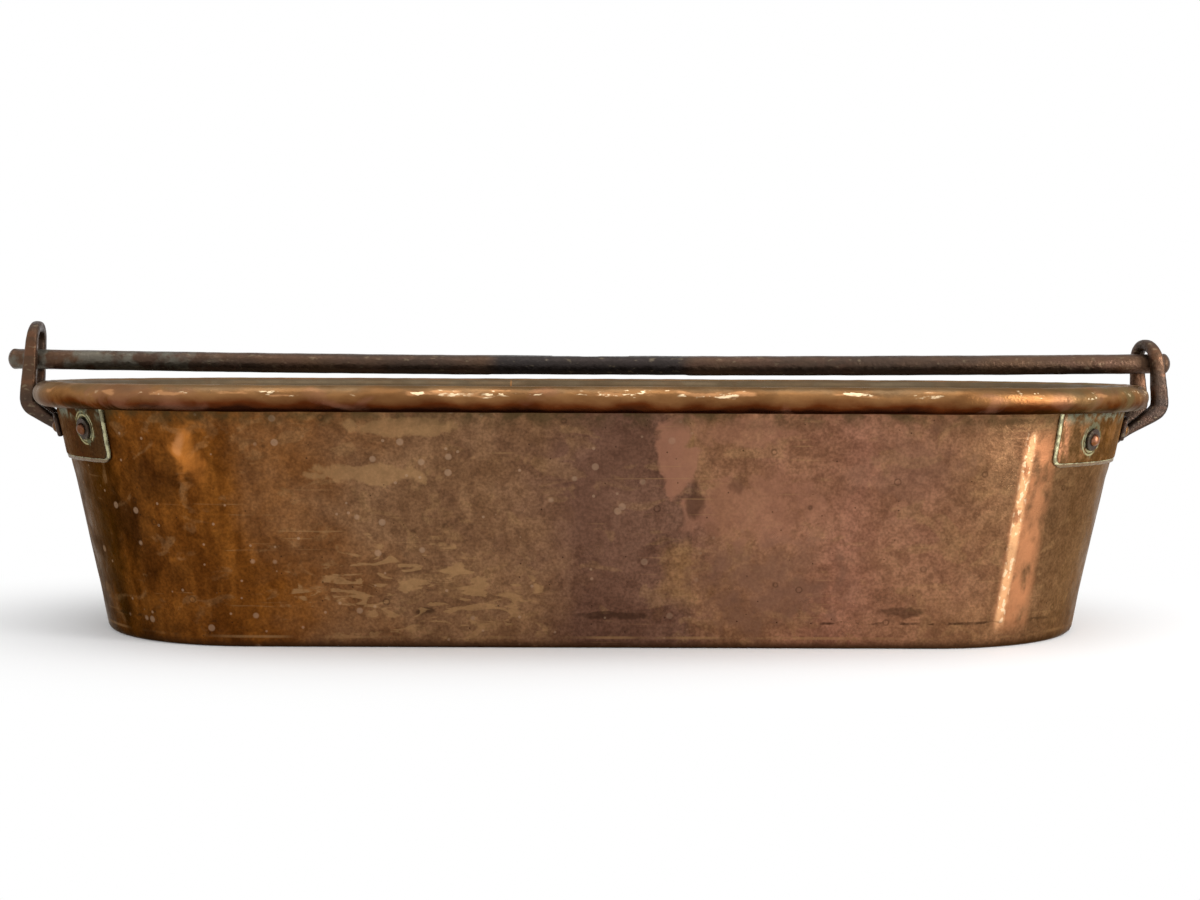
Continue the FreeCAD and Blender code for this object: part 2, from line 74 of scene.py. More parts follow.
# Sizes of the solid model that its boxes don't show.
SHEET = 1.5 * MM
CORNER_RADIUS = 3.5 * MM
PLATE_GAUGE = 2 * MM
PLATE_RIVETS = ((-45, 123 * MM), (43, 127 * MM))  # degrees round the end, and height
ROLL_LIP_GAP = math.radians(5)  # left open between the rolled lip and the wall

# Places read from the boxes, and what follows from them.
RIM_LOW, RIM_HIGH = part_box("rim_wire")
WALL_LOW, WALL_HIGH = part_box("wall_right")
BASE_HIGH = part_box("base_pan")[1]
SEAM_LOW, SEAM_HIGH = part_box("side_seam_front")
PLATE_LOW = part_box("end_plate_right")[0].z
WIRE_RADIUS = (RIM_HIGH.z - RIM_LOW.z) / 2
RIM_HEIGHT = (RIM_HIGH.z + RIM_LOW.z) / 2
STRAIGHT_HALF = RIM_HIGH.x - RIM_HIGH.y
ROLL_CENTRE = RIM_HIGH.y - WIRE_RADIUS
ROLL_RADIUS = WALL_HIGH.y - ROLL_CENTRE
ROLL_INSIDE = ROLL_RADIUS - SHEET
FLANGE_RADIUS, FLANGE_TOP = BASE_HIGH.y, BASE_HIGH.z
WALL_BOTTOM = WALL_LOW.z
FLARE = (ROLL_CENTRE - ROLL_INSIDE - FLANGE_RADIUS) / (RIM_HEIGHT - FLANGE_TOP)
for _ in range(4):  # the roll leans with the wall, so its reach inwards depends on the flare
    LEAN = math.hypot(1, FLARE)
    FLARE = (ROLL_CENTRE - ROLL_INSIDE * LEAN - FLANGE_RADIUS) / (RIM_HEIGHT - FLANGE_TOP)
FOOT_RADIUS = FLANGE_RADIUS - FLARE * FLANGE_TOP
LIP_ANGLE = math.acos(ROLL_INSIDE / ROLL_RADIUS) + ROLL_LIP_GAP - math.atan(FLARE)
SEAM_PLACE = (SEAM_LOW.x + SEAM_HIGH.x) / 2
SEAM_WIDTH = SEAM_HIGH.x - SEAM_LOW.x

# Handwork: lengths of the waves in the beaten copper, and how far a blow reaches, in its spacing.
BROAD_WAVE, MIDDLING_WAVE, RIM_WAVE, RIM_FACET = 105 * MM, 34 * MM, 30 * MM, 11 * MM
BLOW_REACH, FORGE_REACH = 0.75, 0.8
CREASE = math.radians(50)  # edges that turn more than this stay sharp


def linear(hex_colour):
    """Linear colour of an sRGB hex value."""
    parts = [int(hex_colour[i : i + 2], 16) / 255 for i in (1, 3, 5)]
    return tuple(c / 12.92 if c <= 0.04045 else ((c + 0.055) / 1.055) ** 2.4 for c in parts)


def rgba(hex_colour):
    """The same with full cover, ready for a shader socket."""
    return (*linear(hex_colour), 1.0)


def colour_property(name, description, hex_colour):
    return bpy.props.FloatVectorProperty(
        name=name,
        description=description,
        subtype="COLOR",
        size=3,
        min=0,
        max=1,
        default=linear(hex_colour),
    )


def length_property(name, description, default):
    return bpy.props.FloatProperty(
        name=name, description=description, unit="LENGTH", subtype="DISTANCE", default=default, min=0
    )


class KettleSizes(bpy.types.PropertyGroup):
    """Handwork that the solid model leaves out."""

    grid_step: length_property("Grid step", "Distance between the points of the copper sheets", 2.6 * MM)
    hammer_spacing: length_property("Hammer spacing", "Distance between planishing marks", 13 * MM)
    hammer_depth: length_property("Hammer depth", "Depth of a planishing mark", 0.10 * MM)
    swell_depth: length_property("Swell", "Depth of the broad waves in the sheets", 1.1 * MM)
    rim_wave: length_property("Rim wave", "Unevenness of the rolled rim", 0.45 * MM)
    forge_depth: length_property("Forging marks", "Depth of the hammer marks on the iron", 0.35 * MM)


class KettleColours(bpy.types.PropertyGroup):
    """Colours of the metals, as they look in plain light."""

    # Umber: dark patina at the left-hand end, deepened there as painted shade.
    umber: colour_property("Umber", "Darkest brown patina, at the left end", "#46270f")
    russet: colour_property("Russet", "Red-brown patina beside it", "#7c4a1b")
    honey: colour_property("Honey", "Olive-golden patina of the left-hand sheet", "#846144")
    violet: colour_property("Violet", "Violet-brown patina in the middle", "#735241")
    rose: colour_property("Rose", "Rubbed pinkish copper", "#986952")
    amber: colour_property("Amber", "Warm brown patina of the right-hand sheet", "#8a6544")
    olive: colour_property("Olive", "Dull brown patina of the right-hand end", "#765a38")
    gold: colour_property("Gold", "Copper wiped half clean", "#a27d54")
    # Painted orange reflection, laid low on the left of the front.
    painted_orange_reflection: colour_property("Ember", "Copper glowing through the brown at the left", "#cc7f38")
    # Bright is laid only as painted highlights: along the rim's upper front and in the orange reflection.
    bright: colour_property("Bright", "Copper rubbed bright on edges", "#d39a6a")
    grime: colour_property("Grime", "Black-brown dirt in corners and pits", "#2a1a10")
    verdigris: colour_property("Verdigris", "Green crust in corners", "#74806a")
    solder: colour_property("Solder", "Old soft solder", "#b9b48c")
    iron: colour_property("Iron", "Browned wrought iron", "#57402f")
    blacked: colour_property("Blacked iron", "Iron darkened by hands and smoke", "#3a302a")
    tin: colour_property("Tin", "Dulled tin lining", "#8b8475")


def sizes():
    return bpy.context.scene.kettle_sizes


def colour(key):
    """One of the kettle's colours, ready for a shader socket."""
    return (*getattr(bpy.context.scene.kettle_colours, key), 1.0)


# Tones that are laid over the kettle's colours, some of them painted shade, highlights and reflections.
TONES = {
    "tide_shade": "#bdb0ac",
    "mottle_shade": "#a3958f",
    "run_shade": "#a08c7c",
    "dried_drop": "#b09074",
    # Painted highlight band at the right-hand end, with its brighter edge and glints.
    "band": "#bf8158",
    "highlight_band_edge": "#e6ae7c",
    "highlight_band_glint": "#ffe2b8",
    "copper_sheen": "#d3c5b8",
    "painted_shade_under_rim": "#40351f",
    "painted_shade_at_foot": "#3a2314",
    "rim_shade": "#bdb0a4",
    "rim_glint": "#ffe4ba",
    "rim_end_grey_reflection": "#6b635a",
    "rim_green_end": "#6d6849",
    "plate_dark": "#65492e",
    "plate_light": "#86603f",
    "plate_glint": "#b9805c",
    "plate_left_shade": "#35271a",
    "plate_shade_under_rim": "#2b2a20",
    "plate_sheen": "#c9ac8c",
    "copper_showing": "#7a543c",
    "tin_stain": "#4d453a",
    "tin_wiped": "#a39c8b",
    "tin_shade_near_rim": "#584731",
    "rust_red": "#704a33",
    "rust_brown": "#553d31",
    "rust_dark": "#3c2b20",
    "rust_green": "#5f6350",
    "iron_dulled": "#6c6b60",
    "iron_grip": "#2c2929",
    "iron_fleck": "#9c8d70",
    "solder_dirty": "#5d553c",
    "solder_underside_shade": "#654a2f",
}

# Rolled rim, from its underside up, painted dark below as shade and lighter above where light falls: share
# of the way, and tone.
RIM_PAINTED_SHADE_TONES = ((0.0, "#2c140a"), (0.22, "#5a2b11"), (0.5, "#835a36"), (0.72, "#946a42"), (1.0, "#7b6145"))


def shade(name):
    """One of the tones, ready for a shader socket."""
    return rgba(TONES[name])


# Shape of the body. A point on the wall has a radius from the axis of its end, or from the
# middle plane between the ends, and a height.


def wall_radius(height, inside=False):
    radius = FOOT_RADIUS + FLARE * height
    return radius - SHEET * LEAN if inside else radius


def steps_between(begin, finish, step):
    count = max(1, round(abs(finish - begin) / step))
    return [begin + (finish - begin) * i / count for i in range(count + 1)]


def arc(centre, radius, begin, finish, step):
    return [
        (centre[0] + radius * math.cos(a), centre[1] + radius * math.sin(a))
        for a in steps_between(begin, finish, step / radius)
    ]


def wall_section(step):
    """Closed section of the wall sheet with its rolled rim, from the bottom inside."""
    leaning = math.pi - math.atan(FLARE)
    lip = -math.pi + LIP_ANGLE
    centre = (ROLL_CENTRE, RIM_HEIGHT)
    roll_foot = RIM_HEIGHT + ROLL_RADIUS * FLARE / LEAN
    inner_foot = RIM_HEIGHT + ROLL_INSIDE * FLARE / LEAN
    inside = [(wall_radius(z, True), z) for z in steps_between(WALL_BOTTOM, roll_foot, 1.6 * step)]
    over = arc(centre, ROLL_RADIUS, leaning, lip, step / 1.6)
    back = arc(centre, ROLL_INSIDE, lip, leaning, 3 * step)
    outside = [(wall_radius(z), z) for z in steps_between(inner_foot, WALL_BOTTOM, step)]
    return inside + over[1:] + back + outside[1:]


def base_section(step):
    """Open section of the base pan, from its middle over the inside to its middle below."""
    lean = math.atan(FLARE)
    corner = FOOT_RADIUS + CORNER_RADIUS * (FLARE - LEAN)
    centre = (corner, CORNER_RADIUS)
    inside = [(r, SHEET) for r in steps_between(0, corner, 3 * step)]
    inside += arc(centre, CORNER_RADIUS - SHEET, -math.pi / 2, -lean, 0.6 * step)[1:]
    inside += [(wall_radius(z, True), z) for z in steps_between(CORNER_RADIUS, FLANGE_TOP, step)[1:]]
    outside = [(wall_radius(z), z) for z in steps_between(FLANGE_TOP, CORNER_RADIUS, step)]
    outside = outside[:-1] + arc(centre, CORNER_RADIUS, -lean, -math.pi / 2, 0.6 * step)
    outside += [(r, 0) for r in steps_between(corner, 0, 3 * step)[1:]]
    return inside + outside


def band_section():
    """Closed section of the brazed band between the base and the walls."""
    low, high = FLANGE_TOP, WALL_BOTTOM
    return [
        (wall_radius(low, True), low),
        (wall_radius(high, True), high),
        (wall_radius(high), high),
        (wall_radius(low), low),
    ]


def run_section(section, closed, front_from, back_to, step, all_round=False):
    """Runs a section along the front, round the right-hand end and along the back."""
    bm = bmesh.new()
    row = [bm.verts.new((front_from, -radius, height)) for radius, height in section]
    pairs = list(zip(row, row[1:])) + ([(row[-1], row[0])] if closed else [])
    edges = [bm.edges.new(pair) for pair in pairs]
    first = list(edges)

    def along(edges, distance):
        count = max(1, round(abs(distance) / step))
        for _ in range(count):
            grown = bmesh.ops.extrude_edge_only(bm, edges=edges)["geom"]
            moved = [g for g in grown if isinstance(g, bmesh.types.BMVert)]
            edges = [g for g in grown if isinstance(g, bmesh.types.BMEdge)]
            bmesh.ops.translate(bm, verts=moved, vec=(distance / count, 0, 0))
        return edges

    def round_end(edges, x):
        count = round(math.pi * ROLL_CENTRE / step)
        spun = bmesh.ops.spin(
            bm, geom=edges, cent=(x, 0, 0), axis=(0, 0, 1), angle=math.pi, steps=count, use_duplicate=False
        )
        return [g for g in spun["geom_last"] if isinstance(g, bmesh.types.BMEdge)]

    edges = along(edges, STRAIGHT_HALF - front_from)
    edges = round_end(edges, STRAIGHT_HALF)
    edges = along(edges, back_to - STRAIGHT_HALF)
    if all_round:
        round_end(edges, -STRAIGHT_HALF)
    else:
        for loop in (first, edges):
            bmesh.ops.contextual_create(bm, geom=loop)
    bmesh.ops.remove_doubles(bm, verts=bm.verts, dist=0.02 * MM)
    bmesh.ops.dissolve_degenerate(bm, dist=0.01 * MM, edges=bm.edges)
    bmesh.ops.recalc_face_normals(bm, faces=bm.faces)
    return bm


def straight_seam(section, middle, width):
    """Short run of a closed section across the front, at a place along the kettle."""
    bm = bmesh.new()
    row = [bm.verts.new((middle - width / 2, -radius, height)) for radius, height in section]
    edges = [bm.edges.new(pair) for pair in zip(row, row[1:] + row[:1])]
    grown = bmesh.ops.extrude_edge_only(bm, edges=edges)["geom"]
    moved = [g for g in grown if isinstance(g, bmesh.types.BMVert)]
    bmesh.ops.translate(bm, verts=moved, vec=(width, 0, 0))
    last = [g for g in grown if isinstance(g, bmesh.types.BMEdge)]
    for loop in (edges, last):
        bmesh.ops.contextual_create(bm, geom=loop)
    bmesh.ops.recalc_face_normals(bm, faces=bm.faces)
    return bm


def turn_half(bm):
    bmesh.ops.rotate(bm, verts=bm.verts, cent=(0, 0, 0), matrix=Matrix.Rotation(math.pi, 3, "Z"))


def outward(point):
    """Level direction out of the kettle at a point, and the angle round its end."""
    over = point.x - math.copysign(STRAIGHT_HALF, point.x)
    if over * point.x <= 0:
        return Vector((0, math.copysign(1, point.y), 0)), 90.0
    level = Vector((over, point.y, 0))
    if level.length < 1e-9:
        return Vector((0, 0, 0)), 0.0
    angle = math.degrees(math.atan2(point.y, abs(over)))
    return level.normalized(), angle if point.x > 0 else -angle


def smooth_between(value, low, high):
    t = min(1, max(0, (value - low) / (high - low)))
    return t * t * (3 - 2 * t)


def dent_depth(point, angle):
    """How far the copper is beaten in at a point on the body, in metres."""
    made = sizes()
    broad = 0.5 + 0.5 * noise.noise(point / BROAD_WAVE)
    middling = 0.5 + 0.5 * noise.noise(point / MIDDLING_WAVE + Vector((7, 3, 1)))
    near = noise.voronoi(point / made.hammer_spacing)[0][0]
    blow = max(0.0, 1 - (near / BLOW_REACH) ** 2)
    # The copper stays even under the end plates, and true at the foot.
    under_plate = smooth_between(point.z, PLATE_LOW - 14 * MM, PLATE_LOW - 4 * MM)
    under_plate *= 1 - smooth_between(abs(angle), 60, 72)
    swell = made.swell_depth * (0.7 * broad + 0.3 * middling)
    swell *= (1 - 0.93 * under_plate) * smooth_between(point.z, 2 * MM, 30 * MM)
    return swell + made.hammer_depth * blow * (1 - 0.9 * under_plate)


def beat(bm):
    """Gives every point of a piece of the body the dents at its place."""
    made = sizes()
    for vert in bm.verts:
        point = vert.co.copy()
        level, angle = outward(point)
        if level.length == 0:
            continue
        end_axis = Vector((math.copysign(STRAIGHT_HALF, point.x), 0, point.z))
        reach = abs(point.y) if level.x == 0 else (point - end_axis).length
        on_rim = smooth_between(point.z, RIM_HEIGHT - 1.6 * ROLL_RADIUS, RIM_HEIGHT - ROLL_RADIUS)
        depth = dent_depth(point, angle) * (1 - on_rim) * smooth_between(reach, 60 * MM, 95 * MM)
        vert.co = point - level * depth
        from_roll = level * (reach - ROLL_CENTRE) + Vector((0, 0, point.z - RIM_HEIGHT))
        if on_rim > 0 and from_roll.length > ROLL_INSIDE + SHEET / 2:
            wave = 0.5 + 0.5 * noise.noise(point / RIM_WAVE + Vector((1, 5, 2)))
            facet = max(0.0, 1 - (noise.voronoi(point / RIM_FACET)[0][0] / BLOW_REACH) ** 2)
            vert.co -= from_roll.normalized() * on_rim * made.rim_wave * (0.65 * wave + 0.35 * facet)


def to_object(bm, name, materials, body="kettle"):
    for edge in bm.edges:
        edge.smooth = edge.calc_face_angle(0.0) < CREASE
    mesh = bpy.data.meshes.new(name)
    bm.to_mesh(mesh)
    bm.free()
    for material in materials:
        mesh.materials.append(material)
    for polygon in mesh.polygons:
        polygon.use_smooth = True
    made = bpy.data.objects.new(name, mesh)
    bpy.context.scene.collection.objects.link(made)
    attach(made, body)
    return made


def mark_lining(bm):
    """Faces that look into the kettle take the second material."""
    for face in bm.faces:
        centre = face.calc_center_median()
        level, _ = outward(centre)
        wall_inside = face.normal.dot(level) < -0.35 and centre.z < RIM_HEIGHT + 0.8 * ROLL_RADIUS
        floor_inside = face.normal.z > 0.7 and centre.z < 6 * MM
        if wall_inside or floor_inside:
            face.material_index = 1


def shape_of(node_name):
    """Copy of a solid model's node with its loose triangles joined."""
    bm = bmesh.new()
    bm.from_mesh(frame["nodes"][node_name].data)
    bmesh.ops.remove_doubles(bm, verts=bm.verts, dist=0.005 * MM)
    return bm


def forged(node_name, voxel, depth, spacing, smoothing=3, fill=0.0):
    """A node's shape with rounded edges, and hammer marks or, with a negative depth, lumps.

    Evening the shape out takes a little off all round, which fill gives back.
    """
    bm = shape_of(node_name)
    rough = bpy.data.meshes.new(node_name + "_rough")
    bm.to_mesh(rough)
    bm.free()
    holder = bpy.data.objects.new(node_name + "_rough", rough)
    bpy.context.scene.collection.objects.link(holder)
    remesh = holder.modifiers.new("Even", "REMESH")
    remesh.mode = "VOXEL"
    remesh.voxel_size = voxel
    remesh.adaptivity = 0
    graph = bpy.context.evaluated_depsgraph_get()
    even = bpy.data.meshes.new_from_object(holder.evaluated_get(graph))
    bpy.data.objects.remove(holder)
    bm = bmesh.new()
    bm.from_mesh(even)
    bpy.data.meshes.remove(even)
    bpy.data.meshes.remove(rough)
    every_way = {"use_axis_x": True, "use_axis_y": True, "use_axis_z": True}
    for _ in range(smoothing):
        bmesh.ops.smooth_vert(bm, verts=bm.verts, factor=0.5, **every_way)
    bm.normal_update()
    moves = []
    for vert in bm.verts:
        wave = 0.5 + 0.5 * noise.noise(vert.co / spacing)
        near = noise.voronoi(vert.co / spacing + Vector((3, 1, 2)))[0][0]
        facet = max(0.0, 1 - (near / FORGE_REACH) ** 2)
        moves.append(vert.normal * (fill - depth * (0.6 * wave + 0.4 * facet)))
    for vert, move in zip(bm.verts, moves):
        vert.co += move
    return bm


def replace(bm, name, node_name, materials):
    """New piece that stands for a node of the solid model, on the same body."""
    body = frame["nodes"][node_name]["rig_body"]
    made = to_object(bm, name, materials, body)
    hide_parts(node_name)
    return made


# Materials


def set_inputs(tree, node, inputs):
    """Gives inputs, by name or number, their values, or links them where a socket is given."""
    for key, given in inputs.items():
        if isinstance(given, bpy.types.NodeSocket):
            tree.links.new(given, node.inputs[key])
        else:
            node.inputs[key].default_value = given


def add(tree, kind, inputs=None, stops=(), **settings):
    """Adds a shader node with its settings and inputs, and a ramp's stops of position and colour."""
    made = tree.nodes.new(kind)
    for key, setting in settings.items():
        setattr(made, key, setting)
    set_inputs(tree, made, inputs or {})
    for index, (position, tone) in enumerate(stops):
        elements = made.color_ramp.elements
        element = elements[index] if index < len(elements) else elements.new(position)
        element.position, element.color = position, tone
    return made


def new_material(name):
    material = bpy.data.materials.new(name)
    material.use_nodes = True
    tree = material.node_tree
    tree.nodes.clear()
    shader = add(tree, "ShaderNodeBsdfPrincipled")
    add(tree, "ShaderNodeOutputMaterial", {"Surface": shader.outputs[0]})
    place = add(tree, "ShaderNodeTexCoord").outputs["Object"]
    return material, tree, shader, place


def patches(tree, place, across, low, high, stretch=(1, 1, 1), detail=6, twist=0.0, values=(0.0, 1.0)):
    """Ragged patches about across metres wide: the first value where a noise is low, the second high."""
    fitted = add(tree, "ShaderNodeMapping", {"Vector": place, "Scale": stretch}).outputs[0]
    noise_inputs = {"Vector": fitted, "Scale": 1 / across, "Detail": detail, "Distortion": twist}
    ragged = add(tree, "ShaderNodeTexNoise", noise_inputs).outputs[0]
    limits = {"Value": ragged, "From Min": low, "From Max": high, "To Min": values[0], "To Max": values[1]}
    return add(tree, "ShaderNodeMapRange", limits, interpolation_type="SMOOTHSTEP").outputs[0]


def within(tree, value, low, high, soft):
    """Mask of the places whose value lies between low and high, fading out over soft."""
    from_middle = add(tree, "ShaderNodeMath", {0: value, 1: (low + high) / 2}, operation="SUBTRACT")
    away = add(tree, "ShaderNodeMath", {0: from_middle.outputs[0]}, operation="ABSOLUTE").outputs[0]
    half = (high - low) / 2
    limits = {"Value": away, "From Min": half, "From Max": half + soft, "To Min": 1.0, "To Max": 0.0}
    return add(tree, "ShaderNodeMapRange", limits, interpolation_type="SMOOTHSTEP").outputs[0]


def lay(tree, skin, tone, share, *masks, how="MIX"):
    """Lays a tone over the skin where all the masks meet, covering at most a share of it."""
    cover = share
    for mask in masks:
        cover = add(tree, "ShaderNodeMath", {0: cover, 1: mask}, operation="MULTIPLY").outputs[0]
    layers = {"Factor": cover, 6: skin, 7: tone}  # the numbers of the two colour sockets
    return add(tree, "ShaderNodeMix", layers, data_type="RGBA", blend_type=how).outputs[2]


def spots(tree, place, spacing, reach, share):
    """Mask of round spots, one in a share of the cells that are spacing metres apart."""
    cells = add(tree, "ShaderNodeTexVoronoi", {"Vector": place, "Scale": 1 / spacing})
    away = cells.outputs["Distance"]
    limits = {"Value": away, "From Min": reach * 0.7, "From Max": reach, "To Min": 1.0, "To Max": 0.0}
    near = add(tree, "ShaderNodeMapRange", limits).outputs[0]
    lot = add(tree, "ShaderNodeSeparateColor", {0: cells.outputs["Color"]}).outputs[0]
    drawn = add(tree, "ShaderNodeMath", {0: lot, 1: share}, operation="LESS_THAN").outputs[0]
    return add(tree, "ShaderNodeMath", {0: near, 1: drawn}, operation="MULTIPLY").outputs[0]


def rings(tree, place, spacing, reach, share):
    """Mask of the outlines of such spots, left where drops dried."""
    outer = spots(tree, place, spacing, reach, share)
    inner = spots(tree, place, spacing, reach * 0.7, share)
    return add(tree, "ShaderNodeMath", {0: outer, 1: inner}, operation="SUBTRACT").outputs[0]


def blotch(tree, place, centre, half, soft):
    """Mask of one ragged patch, by its centre and its half sizes in metres."""
    uneven, bay = 2.2, 14 * MM
    scale = [1 / length for length in half]
    moved = [-at / length for at, length in zip(centre, half)]
    fitted = add(tree, "ShaderNodeMapping", {"Vector": place, "Location": moved, "Scale": scale}).outputs[0]
    away = add(tree, "ShaderNodeVectorMath", {0: fitted}, operation="LENGTH").outputs["Value"]
    noise_inputs = {"Vector": place, "Scale": 1 / bay, "Detail": 8, "Distortion": 0.6}
    ragged = add(tree, "ShaderNodeTexNoise", noise_inputs).outputs[0]
    edge = add(tree, "ShaderNodeMath", {0: ragged, 1: uneven, 2: away}, operation="MULTIPLY_ADD").outputs[0]
    outer = 1 + uneven / 2
    limits = {"Value": edge, "From Min": outer - soft, "From Max": outer, "To Min": 1.0, "To Max": 0.0}
    return add(tree, "ShaderNodeMapRange", limits, interpolation_type="SMOOTHSTEP").outputs[0]


def emboss(tree, shader, strength, distance, *heights):
    """Gives the surface fine relief from the sum of the heights."""
    total = heights[0]
    for height in heights[1:]:
        total = add(tree, "ShaderNodeMath", {0: total, 1: height}, operation="ADD").outputs[0]
    bump = add(tree, "ShaderNodeBump", {"Strength": strength, "Distance": distance, "Height": total})
    set_inputs(tree, shader, {"Normal": bump.outputs[0]})


# Zones of the patina, with painted shade darkening the left-hand end: place along the kettle in millimetres,
# and colour.
ZONES = (
    (-268, "umber"),
    (-240, "russet"),
    (-215, "russet"),
    (-110, "honey"),
    (-70, "honey"),
    (0, "violet"),
    (50, "violet"),
    (76, "amber"),
    (150, "rose"),
    (225, "amber"),
    (270, "olive"),
)

# Marks that the years left on the front, and at the left a painted orange reflection with a painted
# highlight in it:
# middle along the kettle and height, half sizes in millimetres, colour, how strongly it covers, and how
# softly it ends.
FRONT_MARKS = (
    (48, 112, 13, 24, "rose", 0.75, 0.3),
    (96, 84, 50, 26, "rose", 0.5, 0.5),
    (84, 128, 34, 9, "rose", 0.4, 0.4),
    (4, 90, 44, 60, "violet", 0.25, 0.9),
    (104, 36, 56, 36, "violet", 0.65, 0.8),
    (-120, 103, 42, 6, "gold", 0.45, 0.3),
    (-108, 130, 36, 6, "gold", 0.45, 0.3),
    # Painted orange reflection, and a painted highlight inside it.
    (-230, 116, 13, 26, "painted_orange_reflection", 0.9, 1.1),
    (-234, 120, 5, 8, "bright", 0.3, 0.8),
    (180, 108, 40, 26, "violet", 0.35, 0.6),
    (60, 90, 6, 12, "grime", 0.55, 0.5),
    (84, 98, 6, 7, "grime", 0.35, 0.5),
    (182, 22, 17, 4, "grime", 0.5, 0.4),
    (-95, 22, 7, 3, "grime", 0.6, 0.4),
    (10, 20, 28, 3, "grime", 0.55, 0.4),
)


def side_patina(tree, place, x, y):
    """Brown oxide in zones along the kettle: each sheet aged on its own, darkest at the left, where painted
    shade darkens it.
    """
    half = 350 * MM
    drifted, shift = x, 0.0
    for across, detail, wander in ((60 * MM, 6, 160 * MM), (16 * MM, 8, 50 * MM)):
        noise_inputs = {"Vector": place, "Scale": 1 / across, "Detail": detail}
        ragged = add(tree, "ShaderNodeTexNoise", noise_inputs).outputs[0]
        drift = {0: ragged, 1: wander, 2: drifted}
        drifted = add(tree, "ShaderNodeMath", drift, operation="MULTIPLY_ADD").outputs[0]
        shift += wander / 2
    limits = {"Value": drifted, "From Min": shift - half, "From Max": shift + half}
    along = add(tree, "ShaderNodeMapRange", limits).outputs[0]
    stops = [((at * MM + half) / (2 * half), colour(key)) for at, key in ZONES]
    base = add(tree, "ShaderNodeValToRGB", {0: along}, stops).outputs[0]
    side = add(tree, "ShaderNodeMath", {0: y}, operation="SIGN").outputs[0]
    beyond = add(tree, "ShaderNodeMath", {0: side, 1: SEAM_PLACE, 2: x}, operation="MULTIPLY_ADD").outputs[0]
    right_sheet = add(tree, "ShaderNodeMath", {0: beyond, 1: 0.0}, operation="GREATER_THAN").outputs[0]
    return lay(tree, base, colour("rose"), 0.25, right_sheet)


def oxide(tree, place, skin):
    """Clouds, wiped patches, mottling and grain in the brown."""
    tide = patches(tree, place, 36 * MM, 0.46, 0.54, detail=8, twist=0.8)
    skin = lay(tree, skin, shade("tide_shade"), 0.38, tide, how="MULTIPLY")
    wiped = patches(tree, place, 21 * MM, 0.55, 0.64, (0.8, 1, 1.3), 9, 1.1)
    skin = lay(tree, skin, colour("gold"), 0.24, wiped)
    mottle = patches(tree, place, 6 * MM, 0.40, 0.62, detail=9)
    skin = lay(tree, skin, shade("mottle_shade"), 0.34, mottle, how="MULTIPLY")
    grain = patches(tree, place, 1.7 * MM, 0.3, 0.7, values=(0.78, 1.2))
    return lay(tree, skin, grain, 1.0, how="MULTIPLY")


def worn(tree, place, x, skin):
    """Patches and streaks that years of use left on the sides, and a painted orange reflection at the left.
    """
    for middle, level, wide, tall, key, cover, soft in FRONT_MARKS:
        centre = (middle * MM, -125 * MM, level * MM)
        mark = blotch(tree, place, centre, (wide * MM, 60 * MM, tall * MM), soft)
        skin = lay(tree, skin, colour(key), cover, mark)
    low_left = blotch(tree, place, (-100 * MM, -115 * MM, 34 * MM), (75 * MM, 70 * MM, 30 * MM), 0.3)
    streaks = patches(tree, place, 9 * MM, 0.53, 0.58, (0.45, 1, 1.5), 9, 0.9)
    skin = lay(tree, skin, colour("gold"), 0.55, low_left, streaks)
    scratches = patches(tree, place, 2.2 * MM, 0.66, 0.7, (0.04, 0.04, 1), 2)
    here_and_there = patches(tree, place, 50 * MM, 0.42, 0.6, detail=3)
    skin = lay(tree, skin, colour("gold"), 0.3, scratches, here_and_there)
    runs = patches(tree, place, 8 * MM, 0.42, 0.62, (1, 1, 0.1), 7)
    left_end = within(tree, x, -0.4, -0.21, 0.05)
    return lay(tree, skin, shade("run_shade"), 0.5, runs, left_end, how="MULTIPLY")


def dried_drops(tree, place, x, skin):
    """Pale round stains towards the left, and dark rings all over."""
    leftwards = within(tree, x, -0.3, -0.05, 0.2)
    for spacing, reach, share in ((14 * MM, 0.17, 0.5), (7 * MM, 0.15, 0.25)):
        drops = spots(tree, place, spacing, reach, share)
        skin = lay(tree, skin, shade("dried_drop"), 0.42, drops, leftwards)
    return lay(tree, skin, colour("grime"), 0.5, rings(tree, place, 17 * MM, 0.15, 0.4))


def painted_highlight_band(tree, place, x, y, height, skin):
    """Painted highlight: a bright band where the right-hand end starts to curve, broken up by the dents,
    with a brighter edge and glints.
    """
    lean = 0.117  # the band runs down the wall, and the wall leans
    upright = add(tree, "ShaderNodeMath", {0: height, 1: -lean, 2: x}, operation="MULTIPLY_ADD").outputs[0]
    front = within(tree, y, -0.2, -0.03, 0.01)
    rubbed = within(tree, height, 20 * MM, 118 * MM, 14 * MM)
    broad = within(tree, upright, 239 * MM, 251 * MM, 8 * MM)
    soft_dents = patches(tree, place, 9 * MM, 0.28, 0.55, (1, 1, 0.5))
    skin = lay(tree, skin, shade("band"), 0.85, front, rubbed, broad, soft_dents)
    edge = within(tree, upright, 236.5 * MM, 239 * MM, 3 * MM)
    broken = patches(tree, place, 6 * MM, 0.34, 0.5, (1, 1, 0.4))
    skin = lay(tree, skin, shade("highlight_band_edge"), 0.9, front, rubbed, edge, broken)
    glints = patches(tree, place, 2.5 * MM, 0.55, 0.6, (1, 1, 0.6))
    return lay(tree, skin, shade("highlight_band_glint"), 0.7, front, rubbed, edge, glints)


